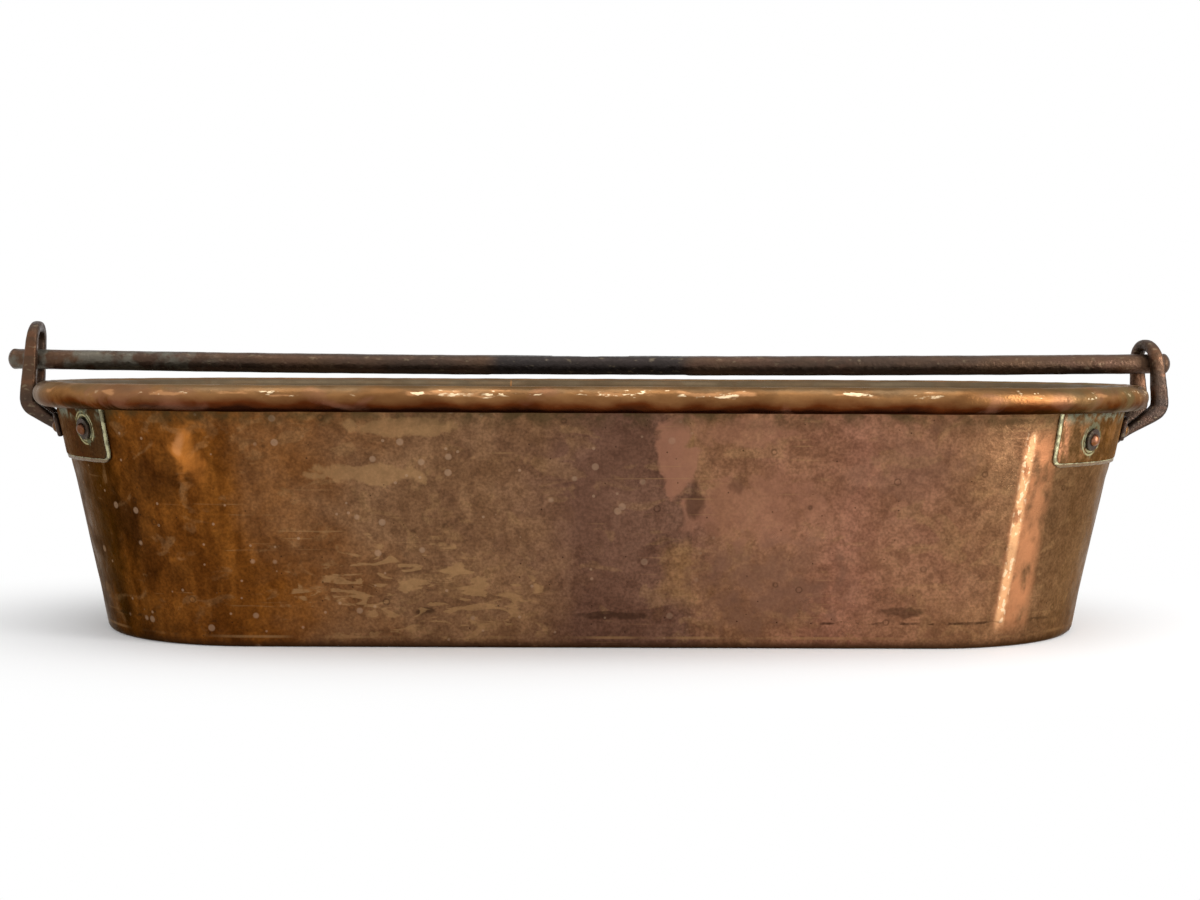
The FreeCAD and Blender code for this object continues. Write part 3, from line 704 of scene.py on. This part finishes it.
def painted_shade_highlight_and_seam_dirt(tree, place, height, skin):
    """Painted shade under the rim and round the foot, a painted highlight line where the base turns, and
    dirt in the base seam.
    """
    lip = RIM_HEIGHT - ROLL_RADIUS
    # Painted shade on the wall just under the rim.
    under_rim = within(tree, height, lip, RIM_HEIGHT, 12 * MM)
    skin = lay(tree, skin, shade("painted_shade_under_rim"), 0.75, under_rim, patches(tree, place, 11 * MM, 0.35, 0.65))
    seam = within(tree, height, FLANGE_TOP + 0.2 * MM, FLANGE_TOP + 1 * MM, 0.9 * MM)
    flecks = patches(tree, place, 5 * MM, 0.5, 0.62, (0.4, 0.4, 1))
    in_places = patches(tree, place, 60 * MM, 0.5, 0.58, detail=3)
    skin = lay(tree, skin, colour("grime"), 0.75, seam, flecks, in_places)
    # Painted highlight: a pale line where the base starts to turn under.
    turn = within(tree, height, 6.2 * MM, 6.8 * MM, 0.9 * MM)
    skin = lay(tree, skin, colour("gold"), 0.5, turn, patches(tree, place, 50 * MM, 0.42, 0.6, detail=3))
    # Painted shade round the foot, on the underside of the turn.
    foot = within(tree, height, -2 * MM, 1 * MM, 5 * MM)
    return lay(tree, skin, shade("painted_shade_at_foot"), 0.85, foot, patches(tree, place, 9 * MM, 0.2, 0.4))


def rim_patina(tree, place, x, height):
    """Rolled rim in painted shade and light: dark red-brown on its underside, golden brown above, with a
    painted highlight and painted glints along its upper front, and a painted grey reflection at its
    left-hand end.
    """
    limits = {"Value": height, "From Min": RIM_LOW.z, "From Max": RIM_HIGH.z}
    up_rim = add(tree, "ShaderNodeMapRange", limits).outputs[0]
    waver = patches(tree, place, 9 * MM, 0.2, 0.8, (0.4, 1, 1), values=(-0.17, 0.17))
    level = add(tree, "ShaderNodeMath", {0: up_rim, 1: waver}, operation="ADD").outputs[0]
    # The tones run from painted shade on the rim's underside to a lighter top.
    stops = [(position, rgba(tone)) for position, tone in RIM_PAINTED_SHADE_TONES]
    rim = add(tree, "ShaderNodeValToRGB", {0: level}, stops).outputs[0]
    clouds = patches(tree, place, 22 * MM, 0.45, 0.6, (0.6, 1, 1), 8)
    rim = lay(tree, rim, shade("rim_shade"), 0.5, clouds, how="MULTIPLY")
    rim = lay(tree, rim, colour("rose"), 0.3, patches(tree, place, 30 * MM, 0.54, 0.62, (0.5, 1, 1), 6, 0.8))
    # Painted highlight along the rim's upper front, with painted glints in groups.
    crest = within(tree, level, 0.68, 0.8, 0.08)
    rubbed = patches(tree, place, 7 * MM, 0.56, 0.64, (0.25, 0.5, 1), 8)
    rim = lay(tree, rim, colour("bright"), 0.5, crest, rubbed)
    glints = patches(tree, place, 2.6 * MM, 0.56, 0.59, (0.3, 1, 1), 8)
    in_groups = patches(tree, place, 24 * MM, 0.48, 0.54)
    off_left_end = within(tree, x, -0.26, 0.36, 0.03)
    rim = lay(tree, rim, shade("rim_glint"), 0.95, crest, glints, in_groups, off_left_end)
    # Painted grey reflection at the rim's left-hand end.
    rim = lay(tree, rim, shade("rim_end_grey_reflection"), 0.75, within(tree, x, -0.4, -0.338, 0.023))
    green_end = within(tree, x, 0.33, 0.4, 0.09)
    return lay(tree, rim, shade("rim_green_end"), 0.6, green_end, patches(tree, place, 20 * MM, 0.4, 0.6))


def patinated_copper(name):
    """Hammered sheet copper under decades of brown oxide: satin metal in warm browns, blotched and
    speckled where drops dried, with wiped golden streaks, scratches and grime in the base seam and pits,
    and painted shade at the left-hand end, under the rim and round the foot, a painted shaded and lit rim,
    painted highlights on the right-hand end and at the base's turn, and a painted orange reflection."""
    material, tree, shader, place = new_material(name)
    x, y, height = add(tree, "ShaderNodeSeparateXYZ", {0: place}).outputs
    pits = spots(tree, place, 6 * MM, 0.09, 0.35)
    skin = side_patina(tree, place, x, y)
    skin = oxide(tree, place, skin)
    skin = worn(tree, place, x, skin)
    skin = dried_drops(tree, place, x, skin)
    skin = lay(tree, skin, colour("grime"), 0.75, pits)
    # Painted highlight band at the right-hand end.
    skin = painted_highlight_band(tree, place, x, y, height, skin)
    # Painted shade under the rim and round the foot, and a painted highlight line at the base's turn, with
    # real dirt in the seam.
    skin = painted_shade_highlight_and_seam_dirt(tree, place, height, skin)
    rolled = within(tree, height, RIM_HEIGHT - ROLL_RADIUS + 0.5 * MM, 2 * RIM_HEIGHT, 0.7 * MM)
    skin = lay(tree, skin, rim_patina(tree, place, x, height), 1.0, rolled)
    satin = patches(tree, place, 18 * MM, 0.32, 0.68, detail=7, values=(0.27, 0.48))
    finish = {"Base Color": skin, "Metallic": 1.0, "Roughness": satin}
    set_inputs(tree, shader, {**finish, "Specular Tint": shade("copper_sheen")})
    fine = patches(tree, place, 1.4 * MM, 0.2, 0.8)
    dents = patches(tree, place, 8 * MM, 0.2, 0.8, detail=3, values=(0.0, 3.0))
    hollows = add(tree, "ShaderNodeMath", {0: pits, 1: -0.8}, operation="MULTIPLY").outputs[0]
    emboss(tree, shader, 0.5, 0.12 * MM, fine, dents, hollows)
    return material


def rivet_stains(tree, place, x, y, height, skin):
    """Green crust and pale rings of run solder round the outer rivets, alike at both ends."""
    side = add(tree, "ShaderNodeMath", {0: x}, operation="SIGN").outputs[0]
    far = add(tree, "ShaderNodeMath", {0: x}, operation="ABSOLUTE").outputs[0]
    across = add(tree, "ShaderNodeMath", {0: y, 1: side}, operation="MULTIPLY").outputs[0]
    at_right = add(tree, "ShaderNodeCombineXYZ", {0: far, 1: across, 2: height}).outputs[0]
    ragged = patches(tree, place, 5 * MM, 0.1, 0.9, detail=7, values=(-3 * MM, 3 * MM))
    crumbs = patches(tree, place, 3 * MM, 0.4, 0.55)
    arcs = patches(tree, place, 9 * MM, 0.42, 0.5, detail=4)
    for angle, level in PLATE_RIVETS:
        reach = FOOT_RADIUS + FLARE * level + PLATE_GAUGE
        turn = math.radians(angle)
        centre = (STRAIGHT_HALF + reach * math.cos(turn), reach * math.sin(turn), level)
        reach_inputs = {0: at_right, 1: centre}
        away = add(tree, "ShaderNodeVectorMath", reach_inputs, operation="DISTANCE").outputs["Value"]
        strayed = add(tree, "ShaderNodeMath", {0: away, 1: ragged}, operation="ADD").outputs[0]
        crust = within(tree, strayed, 0.0, 8 * MM, 4 * MM)
        skin = lay(tree, skin, colour("verdigris"), 0.6, crust, crumbs)
        for radius in (7.8 * MM, 9.8 * MM):
            ring = within(tree, away, radius - 0.25 * MM, radius + 0.25 * MM, 0.5 * MM)
            skin = lay(tree, skin, colour("solder"), 0.85, ring, arcs)
    return skin


def plate_copper(name):
    """Hammered copper plate left unpolished: dull brown, darker at the left as painted shade, with green
    crust and pale solder that ran round the rivets and under the rim, painted shade just under the rim, and
    a painted highlight near the right-hand end."""
    material, tree, shader, place = new_material(name)
    x, y, height = add(tree, "ShaderNodeSeparateXYZ", {0: place}).outputs
    clouds = patches(tree, place, 12 * MM, 0.4, 0.6, detail=8)
    skin = lay(tree, shade("plate_dark"), shade("plate_light"), 1.0, clouds)
    # Painted highlight in a narrow strip of the right-hand plate.
    glints = patches(tree, place, 5 * MM, 0.38, 0.55, (1, 1, 0.5))
    skin = lay(tree, skin, shade("plate_glint"), 0.8, within(tree, x, 0.26, 0.274, 0.004), glints)
    # Painted shade darkens the left-hand plate.
    skin = lay(tree, skin, shade("plate_left_shade"), 0.85, within(tree, x, -0.4, 0.0, 0.01))
    grain = patches(tree, place, 1.7 * MM, 0.3, 0.7, values=(0.75, 1.2))
    skin = lay(tree, skin, grain, 1.0, how="MULTIPLY")
    skin = rivet_stains(tree, place, x, y, height, skin)
    lip = RIM_HEIGHT - ROLL_RADIUS
    near_rim = within(tree, height, lip, RIM_HEIGHT, 9 * MM)
    ragged = patches(tree, place, 7 * MM, 0.45, 0.6, detail=8)
    crust = add(tree, "ShaderNodeMath", {0: near_rim, 1: ragged}, operation="MULTIPLY").outputs[0]
    skin = lay(tree, skin, colour("verdigris"), 0.7, crust)
    # Painted shade just under the rim.
    skin = lay(tree, skin, shade("plate_shade_under_rim"), 0.7, within(tree, height, lip + 1 * MM, RIM_HEIGHT, 5 * MM))
    metal = add(tree, "ShaderNodeMapRange", {"Value": crust, "To Min": 0.95, "To Max": 0.35}).outputs[0]
    satin = patches(tree, place, 6 * MM, 0.3, 0.7, values=(0.36, 0.58))
    finish = {"Base Color": skin, "Metallic": metal, "Roughness": satin}
    set_inputs(tree, shader, {**finish, "Specular Tint": shade("plate_sheen")})
    emboss(tree, shader, 0.6, 0.2 * MM, patches(tree, place, 1.6 * MM, 0.2, 0.8), crust)
    return material


def tin_lining(name):
    """Hot-wiped tin over copper, dull grey, with wipe marks, stains, and copper showing where it has
    worn, and darkened near the rim as painted shade inside the kettle."""
    material, tree, shader, place = new_material(name)
    height = add(tree, "ShaderNodeSeparateXYZ", {0: place}).outputs[2]
    through = patches(tree, place, 30 * MM, 0.5, 0.58, detail=9, twist=0.8)
    skin = lay(tree, colour("tin"), shade("copper_showing"), 0.65, through)
    stain = patches(tree, place, 14 * MM, 0.42, 0.62, detail=9)
    skin = lay(tree, skin, shade("tin_stain"), 0.5, stain)
    wipes = patches(tree, place, 5 * MM, 0.5, 0.6, (0.08, 0.3, 1), 5)
    skin = lay(tree, skin, shade("tin_wiped"), 0.3, wipes)
    # Painted shade inside the kettle near the rim.
    near_rim = within(tree, height, RIM_HEIGHT - 14 * MM, 2 * RIM_HEIGHT, 22 * MM)
    skin = lay(tree, skin, shade("tin_shade_near_rim"), 0.9, near_rim)
    satin = patches(tree, place, 20 * MM, 0.3, 0.7, values=(0.38, 0.6))
    set_inputs(tree, shader, {"Base Color": skin, "Metallic": 0.9, "Roughness": satin})
    emboss(tree, shader, 0.3, 0.15 * MM, patches(tree, place, 4 * MM, 0.2, 0.8))
    return material


def browned_iron(name, rust, rough, handled=False):
    """Wrought iron browned by heat and handling: dark and satin, scaly close to, with paler worn
    flecks, darker below rim height as painted shade, and black where hands held it."""
    material, tree, shader, place = new_material(name)
    x, _, height = add(tree, "ShaderNodeSeparateXYZ", {0: place}).outputs
    smoky = patches(tree, place, 26 * MM, 0.35, 0.65, (0.35, 1, 1), 8)
    skin = lay(tree, colour("iron"), colour("blacked"), 0.75, smoky)
    rusty = patches(tree, place, 9 * MM, 0.45, 0.65, (0.5, 1, 1), 7, 0.8)
    skin = lay(tree, skin, shade(rust), 0.5, rusty)
    # Painted shade: darker below rim height, where the stirrups sit under the rim against the wall.
    skin = lay(tree, skin, colour("blacked"), 0.6, within(tree, height, 0.1, 0.141, 0.012))
    if handled:
        dulled = patches(tree, place, 10 * MM, 0.42, 0.58, detail=8)
        skin = lay(tree, skin, shade("iron_dulled"), 0.65, within(tree, x, -0.38, -0.28, 0.06), dulled)
        skin = lay(tree, skin, shade("iron_grip"), 0.85, within(tree, x, -57 * MM, 53 * MM, 13 * MM))
    flecks = patches(tree, place, 3 * MM, 0.6, 0.7, (0.5, 1, 1), 9)
    skin = lay(tree, skin, shade("iron_fleck"), 0.2 if handled else 0.35, flecks)
    satin = patches(tree, place, 4 * MM, 0.3, 0.7, values=(rough - 0.12, rough + 0.12))
    set_inputs(tree, shader, {"Base Color": skin, "Metallic": 0.85, "Roughness": satin})
    scale = patches(tree, place, 1.8 * MM, 0.2, 0.8)
    lumps = patches(tree, place, 9 * MM, 0.2, 0.8, detail=3)
    emboss(tree, shader, 0.6, 0.25 * MM, scale, lumps)
    return material


def soft_solder(name):
    """Old tin-lead solder: dull and pale yellow-green with oxide, lumpy from the iron, and brown along
    the underside of the bead at the foot of the plate, as painted shade."""
    material, tree, shader, place = new_material(name)
    height = add(tree, "ShaderNodeSeparateXYZ", {0: place}).outputs[2]
    dirty = patches(tree, place, 4 * MM, 0.45, 0.6, detail=8)
    skin = lay(tree, colour("solder"), shade("solder_dirty"), 0.75, dirty)
    # Painted shade on the underside of the bead, below the plate.
    bead_underside = within(tree, height, PLATE_LOW - 4 * MM, PLATE_LOW - 0.5 * MM, 0.5 * MM)
    skin = lay(tree, skin, shade("solder_underside_shade"), 0.9, bead_underside)
    set_inputs(tree, shader, {"Base Color": skin, "Metallic": 0.5, "Roughness": 0.45})
    emboss(tree, shader, 0.5, 0.2 * MM, patches(tree, place, 1.5 * MM, 0.2, 0.8))
    return material


def rivet_head(name, metal):
    """Hammered copper rivet head: rubbed metal on top, with brown in the hollows, and painted shade on the
    rivets at the left.
    """
    material, tree, shader, place = new_material(name)
    x = add(tree, "ShaderNodeSeparateXYZ", {0: place}).outputs[0]
    brown = patches(tree, place, 3 * MM, 0.42, 0.6, detail=7)
    skin = lay(tree, colour(metal), colour("russet"), 0.7, brown)
    # Painted shade darkens the rivets at the left-hand end.
    skin = lay(tree, skin, colour("umber"), 0.55, within(tree, x, -0.4, 0.0, 0.01))
    set_inputs(tree, shader, {"Base Color": skin, "Metallic": 1.0, "Roughness": 0.42})
    emboss(tree, shader, 0.4, 0.15 * MM, patches(tree, place, 1.2 * MM, 0.2, 0.8))
    return material


def kettle_material(key):
    """Material by key, made once."""
    made = bpy.data.materials.get(key)
    if made:
        return made
    makers = {
        "hammered_patinated_copper": lambda: patinated_copper(key),
        "unpolished_plate_copper": lambda: plate_copper(key),
        "wiped_tin": lambda: tin_lining(key),
        "forged_browned_iron": lambda: browned_iron(key, "rust_red", 0.42),
        "wrought_iron_bar": lambda: browned_iron(key, "rust_brown", 0.42, handled=True),
        "drawn_iron_wire": lambda: browned_iron(key, "rust_dark", 0.55),
        "crusted_iron": lambda: browned_iron(key, "rust_green", 0.55),
        "soft_solder": lambda: soft_solder(key),
        "rubbed_copper_rivet": lambda: rivet_head(key, "rose"),
        "browned_copper_rivet": lambda: rivet_head(key, "olive"),
    }
    return makers[key]()


COPPER, TIN = "hammered_patinated_copper", "wiped_tin"


class KettleOperator:
    bl_options = {"REGISTER", "UNDO"}


class KETTLE_OT_stage(KettleOperator, bpy.types.Operator):
    """Pale floor, plain light and the camera"""

    bl_idname = "kettle.stage"
    bl_label = "Stage"

    def execute(self, context):
        make_floor()
        make_light()
        make_camera()
        return {"FINISHED"}


class KETTLE_OT_wall_sheets(KettleOperator, bpy.types.Operator):
    """Two hammered copper sheets with their rolled rim"""

    bl_idname = "kettle.wall_sheets"
    bl_label = "Wall sheets"

    def execute(self, context):
        step = sizes().grid_step
        front = SEAM_PLACE + SEAM_WIDTH / 2
        for side in ("right", "left"):
            bm = run_section(wall_section(step), True, front, -SEAM_PLACE + SEAM_WIDTH / 2, step)
            if side == "left":
                turn_half(bm)
            mark_lining(bm)
            beat(bm)
            materials = [kettle_material(COPPER), kettle_material(TIN)]
            replace(bm, f"copper_wall_{side}", f"wall_{side}", materials)
        return {"FINISHED"}


class KETTLE_OT_base_pan(KettleOperator, bpy.types.Operator):
    """Hammered copper base with its turned-up edge"""

    bl_idname = "kettle.base_pan"
    bl_label = "Base pan"

    def execute(self, context):
        step = sizes().grid_step
        bm = run_section(base_section(step), False, -STRAIGHT_HALF, -STRAIGHT_HALF, step, all_round=True)
        mark_lining(bm)
        beat(bm)
        replace(bm, "copper_base", "base_pan", [kettle_material(COPPER), kettle_material(TIN)])
        return {"FINISHED"}


class KETTLE_OT_seams(KettleOperator, bpy.types.Operator):
    """Brazed joints between the sheets"""

    bl_idname = "kettle.seams"
    bl_label = "Brazed seams"

    def execute(self, context):
        step = sizes().grid_step
        brazed = [kettle_material(COPPER)]
        bm = run_section(band_section(), True, -STRAIGHT_HALF, -STRAIGHT_HALF, step, all_round=True)
        beat(bm)
        replace(bm, "brazed_base_seam", "base_seam", brazed)
        for place in ("front", "back"):
            bm = straight_seam(wall_section(step), SEAM_PLACE, SEAM_WIDTH)
            if place == "back":
                turn_half(bm)
            beat(bm)
            replace(bm, f"brazed_side_seam_{place}", f"side_seam_{place}", brazed)
        return {"FINISHED"}


class KETTLE_OT_rim_wire(KettleOperator, bpy.types.Operator):
    """Iron wire inside the rolled rim"""

    bl_idname = "kettle.rim_wire"
    bl_label = "Rim wire"

    def execute(self, context):
        slots = frame["nodes"]["rim_wire"].material_slots
        for slot in slots:
            slot.material = kettle_material("drawn_iron_wire")
        return {"FINISHED"}


class KETTLE_OT_end_plates(KettleOperator, bpy.types.Operator):
    """Copper plates round the ends, with their solder"""

    bl_idname = "kettle.end_plates"
    bl_label = "End plates"

    def execute(self, context):
        for side in ("right", "left"):
            copper = [kettle_material("unpolished_plate_copper")]
            bm = forged(f"end_plate_{side}", 0.7 * MM, 0.12 * MM, 11 * MM)
            replace(bm, f"copper_plate_{side}", f"end_plate_{side}", copper)
            solder = [kettle_material("soft_solder")]
            bm = forged(f"plate_solder_{side}", 0.35 * MM, -0.5 * MM, 4 * MM, 2)
            replace(bm, f"solder_bead_{side}", f"plate_solder_{side}", solder)
        return {"FINISHED"}


class KETTLE_OT_rivets(KettleOperator, bpy.types.Operator):
    """Hammered rivets and the washers under their heads"""

    bl_idname = "kettle.rivets"
    bl_label = "Rivets"

    def execute(self, context):
        for side in ("right", "left"):
            for kind, slot, key in (
                ("plate_rivets", "rivet_copper", "rubbed_copper_rivet"),
                ("stirrup_rivets", "rivet_copper", "browned_copper_rivet"),
                ("plate_roves", "rove_iron", "crusted_iron"),
            ):
                bm = forged(f"{kind}_{side}", 0.3 * MM, 0.15 * MM, 2.4 * MM, 2)
                replace(bm, f"hammered_{kind}_{side}", f"{kind}_{side}", [kettle_material(key)])
        return {"FINISHED"}


class KETTLE_OT_stirrups(KettleOperator, bpy.types.Operator):
    """Forged iron stirrups that hold the bar"""

    bl_idname = "kettle.stirrups"
    bl_label = "Stirrups"

    def execute(self, context):
        for side in ("right", "left"):
            bm = forged(f"stirrup_{side}", 0.7 * MM, sizes().forge_depth, 12 * MM, 9, 0.2 * MM)
            iron = [kettle_material("forged_browned_iron")]
            replace(bm, f"forged_stirrup_{side}", f"stirrup_{side}", iron)
        return {"FINISHED"}


class KETTLE_OT_carrying_bar(KettleOperator, bpy.types.Operator):
    """Wrought iron carrying bar"""

    bl_idname = "kettle.carrying_bar"
    bl_label = "Carrying bar"

    def execute(self, context):
        bm = forged("carrying_bar", 0.8 * MM, sizes().forge_depth, 16 * MM, 3, 0.25 * MM)
        replace(bm, "wrought_bar", "carrying_bar", [kettle_material("wrought_iron_bar")])
        return {"FINISHED"}


# Stage, in metres, degrees and watts

CAMERA_PLACE = Vector((0.0, -1.1, 0.1715))
CAMERA_PITCH = 3.2
CAMERA_YAW = 0.287
CAMERA_ROLL = 0.25
FOCAL_PIXELS = 1717
PICTURE_WIDTH = 1200
SENSOR = 36.0

FLOOR_HALF = 6
BEND_START, BEND_RADIUS = 2.2, 1.5  # where the floor curves up behind the kettle
PAINT = (0.93, 0.93, 0.93, 1)
SHADOW_FROM, SHADOW_TO = 0.11, 0.3  # the floor fades to plain white between these distances
SHADOW_SHAPE = (0.5, 1, 1)  # and twice as far out along the kettle

LIGHT_CAST, LIGHT_SEEN = 0.75, 1.0  # strength of the surroundings on surfaces, and as seen in them
LAMPS = (  # name, place, the point it faces, width, height and power
    ("window", (1.7, -1.2, 0.9), (0.2, 0, 0.05), 0.5, 1.6, 16),
    ("strip", (0.66, -0.44, 0.22), (0.25, -0.11, 0.09), 0.06, 0.44, 2.2),
    ("ceiling", (0.0, -0.4, 1.9), (0, 0, 0), 1.8, 1.2, 9),
)


def make_camera():
    data = bpy.data.cameras.new("camera")
    data.sensor_width = SENSOR
    data.lens = SENSOR * FOCAL_PIXELS / PICTURE_WIDTH
    data.clip_start = 0.01
    camera = bpy.data.objects.new("camera", data)
    bpy.context.scene.collection.objects.link(camera)
    pitch, yaw, roll = (math.radians(a) for a in (90 - CAMERA_PITCH, -CAMERA_YAW, CAMERA_ROLL))
    turn = Matrix.Rotation(yaw, 4, "Z") @ Matrix.Rotation(pitch, 4, "X") @ Matrix.Rotation(roll, 4, "Z")
    camera.matrix_world = Matrix.Translation(CAMERA_PLACE) @ turn
    bpy.context.scene.camera = camera


def seen_directly(tree):
    """1 for what the camera sees straight, in metal or through glass, 0 for light on surfaces."""
    path = add(tree, "ShaderNodeLightPath").outputs
    ways = {0: path["Is Camera Ray"], 1: path["Is Glossy Ray"]}
    seen = add(tree, "ShaderNodeMath", ways, operation="MAXIMUM").outputs[0]
    ways = {0: seen, 1: path["Is Transmission Ray"]}
    return add(tree, "ShaderNodeMath", ways, operation="MAXIMUM").outputs[0]


def make_floor():
    """Pale floor that curves up into a backdrop and turns plain white away from the kettle."""
    bm = bmesh.new()
    bmesh.ops.create_grid(bm, x_segments=24, y_segments=96, size=FLOOR_HALF)
    for vert in bm.verts:
        over = vert.co.y - BEND_START
        if over > 0:
            angle = min(over / BEND_RADIUS, math.pi / 2)
            rest = max(0.0, over - BEND_RADIUS * math.pi / 2)
            vert.co.y = BEND_START + BEND_RADIUS * math.sin(angle)
            vert.co.z = BEND_RADIUS * (1 - math.cos(angle)) + rest
    mesh = bpy.data.meshes.new("floor")
    bm.to_mesh(mesh)
    bm.free()
    for polygon in mesh.polygons:
        polygon.use_smooth = True
    floor = bpy.data.objects.new("floor", mesh)
    bpy.context.scene.collection.objects.link(floor)
    material, tree, shader, place = new_material("matt_pale_paint")
    set_inputs(tree, shader, {"Base Color": PAINT, "Roughness": 0.9, "Specular IOR Level": 0.1})
    shortened = add(tree, "ShaderNodeMapping", {"Vector": place, "Scale": SHADOW_SHAPE}).outputs[0]
    away = add(tree, "ShaderNodeVectorMath", {0: shortened}, operation="LENGTH").outputs["Value"]
    limits = {"Value": away, "From Min": SHADOW_FROM, "From Max": SHADOW_TO}
    outside = add(tree, "ShaderNodeMapRange", limits, interpolation_type="SMOOTHSTEP").outputs[0]
    both = {0: outside, 1: seen_directly(tree)}
    far = add(tree, "ShaderNodeMath", both, operation="MULTIPLY").outputs[0]
    white = add(tree, "ShaderNodeEmission", {"Strength": 1.0})
    mixed = add(tree, "ShaderNodeMixShader", {0: far, 1: shader.outputs[0], 2: white.outputs[0]})
    output = next(node for node in tree.nodes if node.type == "OUTPUT_MATERIAL")
    set_inputs(tree, output, {"Surface": mixed.outputs[0]})
    mesh.materials.append(material)


def make_lamp(name, place, aim, width, height, power):
    data = bpy.data.lights.new(name, "AREA")
    data.shape = "RECTANGLE"
    data.size, data.size_y = width, height
    data.energy = power
    lamp = bpy.data.objects.new(name, data)
    bpy.context.scene.collection.objects.link(lamp)
    lamp.location = place
    lamp.rotation_euler = (Vector(aim) - Vector(place)).to_track_quat("-Z", "Y").to_euler()


def make_light():
    scene = bpy.context.scene
    world = bpy.data.worlds.new("plain_studio")
    scene.world = world
    world.use_nodes = True
    tree = world.node_tree
    tree.nodes.clear()
    limits = {"Value": seen_directly(tree), "To Min": LIGHT_CAST, "To Max": LIGHT_SEEN}
    strength = add(tree, "ShaderNodeMapRange", limits).outputs[0]
    background = add(tree, "ShaderNodeBackground", {"Color": (1, 1, 1, 1), "Strength": strength})
    add(tree, "ShaderNodeOutputWorld", {0: background.outputs[0]})
    for lamp in LAMPS:
        make_lamp(*lamp)
    scene.view_settings.view_transform = "Standard"


OPERATORS = (
    KETTLE_OT_stage,
    KETTLE_OT_wall_sheets,
    KETTLE_OT_base_pan,
    KETTLE_OT_seams,
    KETTLE_OT_rim_wire,
    KETTLE_OT_end_plates,
    KETTLE_OT_rivets,
    KETTLE_OT_stirrups,
    KETTLE_OT_carrying_bar,
)


class KETTLE_PT_panel(bpy.types.Panel):
    """Sizes, colours and pieces of the kettle"""

    bl_idname = "KETTLE_PT_panel"
    bl_label = "Fish kettle"
    bl_space_type = "VIEW_3D"
    bl_region_type = "UI"
    bl_category = "Kettle"

    def draw(self, context):
        for group in (context.scene.kettle_sizes, context.scene.kettle_colours):
            for name in group.__annotations__:
                self.layout.prop(group, name)
        for operator in OPERATORS:
            self.layout.operator(operator.bl_idname)


CLASSES = (KettleSizes, KettleColours, *OPERATORS, KETTLE_PT_panel)


def register():
    for cls in CLASSES:
        bpy.utils.register_class(cls)
    bpy.types.Scene.kettle_sizes = bpy.props.PointerProperty(type=KettleSizes)
    bpy.types.Scene.kettle_colours = bpy.props.PointerProperty(type=KettleColours)


def unregister():
    del bpy.types.Scene.kettle_sizes
    del bpy.types.Scene.kettle_colours
    for cls in reversed(CLASSES):
        bpy.utils.unregister_class(cls)


def main():
    register()
    for operator in OPERATORS:
        group, name = operator.bl_idname.split(".")
        getattr(getattr(bpy.ops, group), name)()


if __name__ == "__main__":
    main()
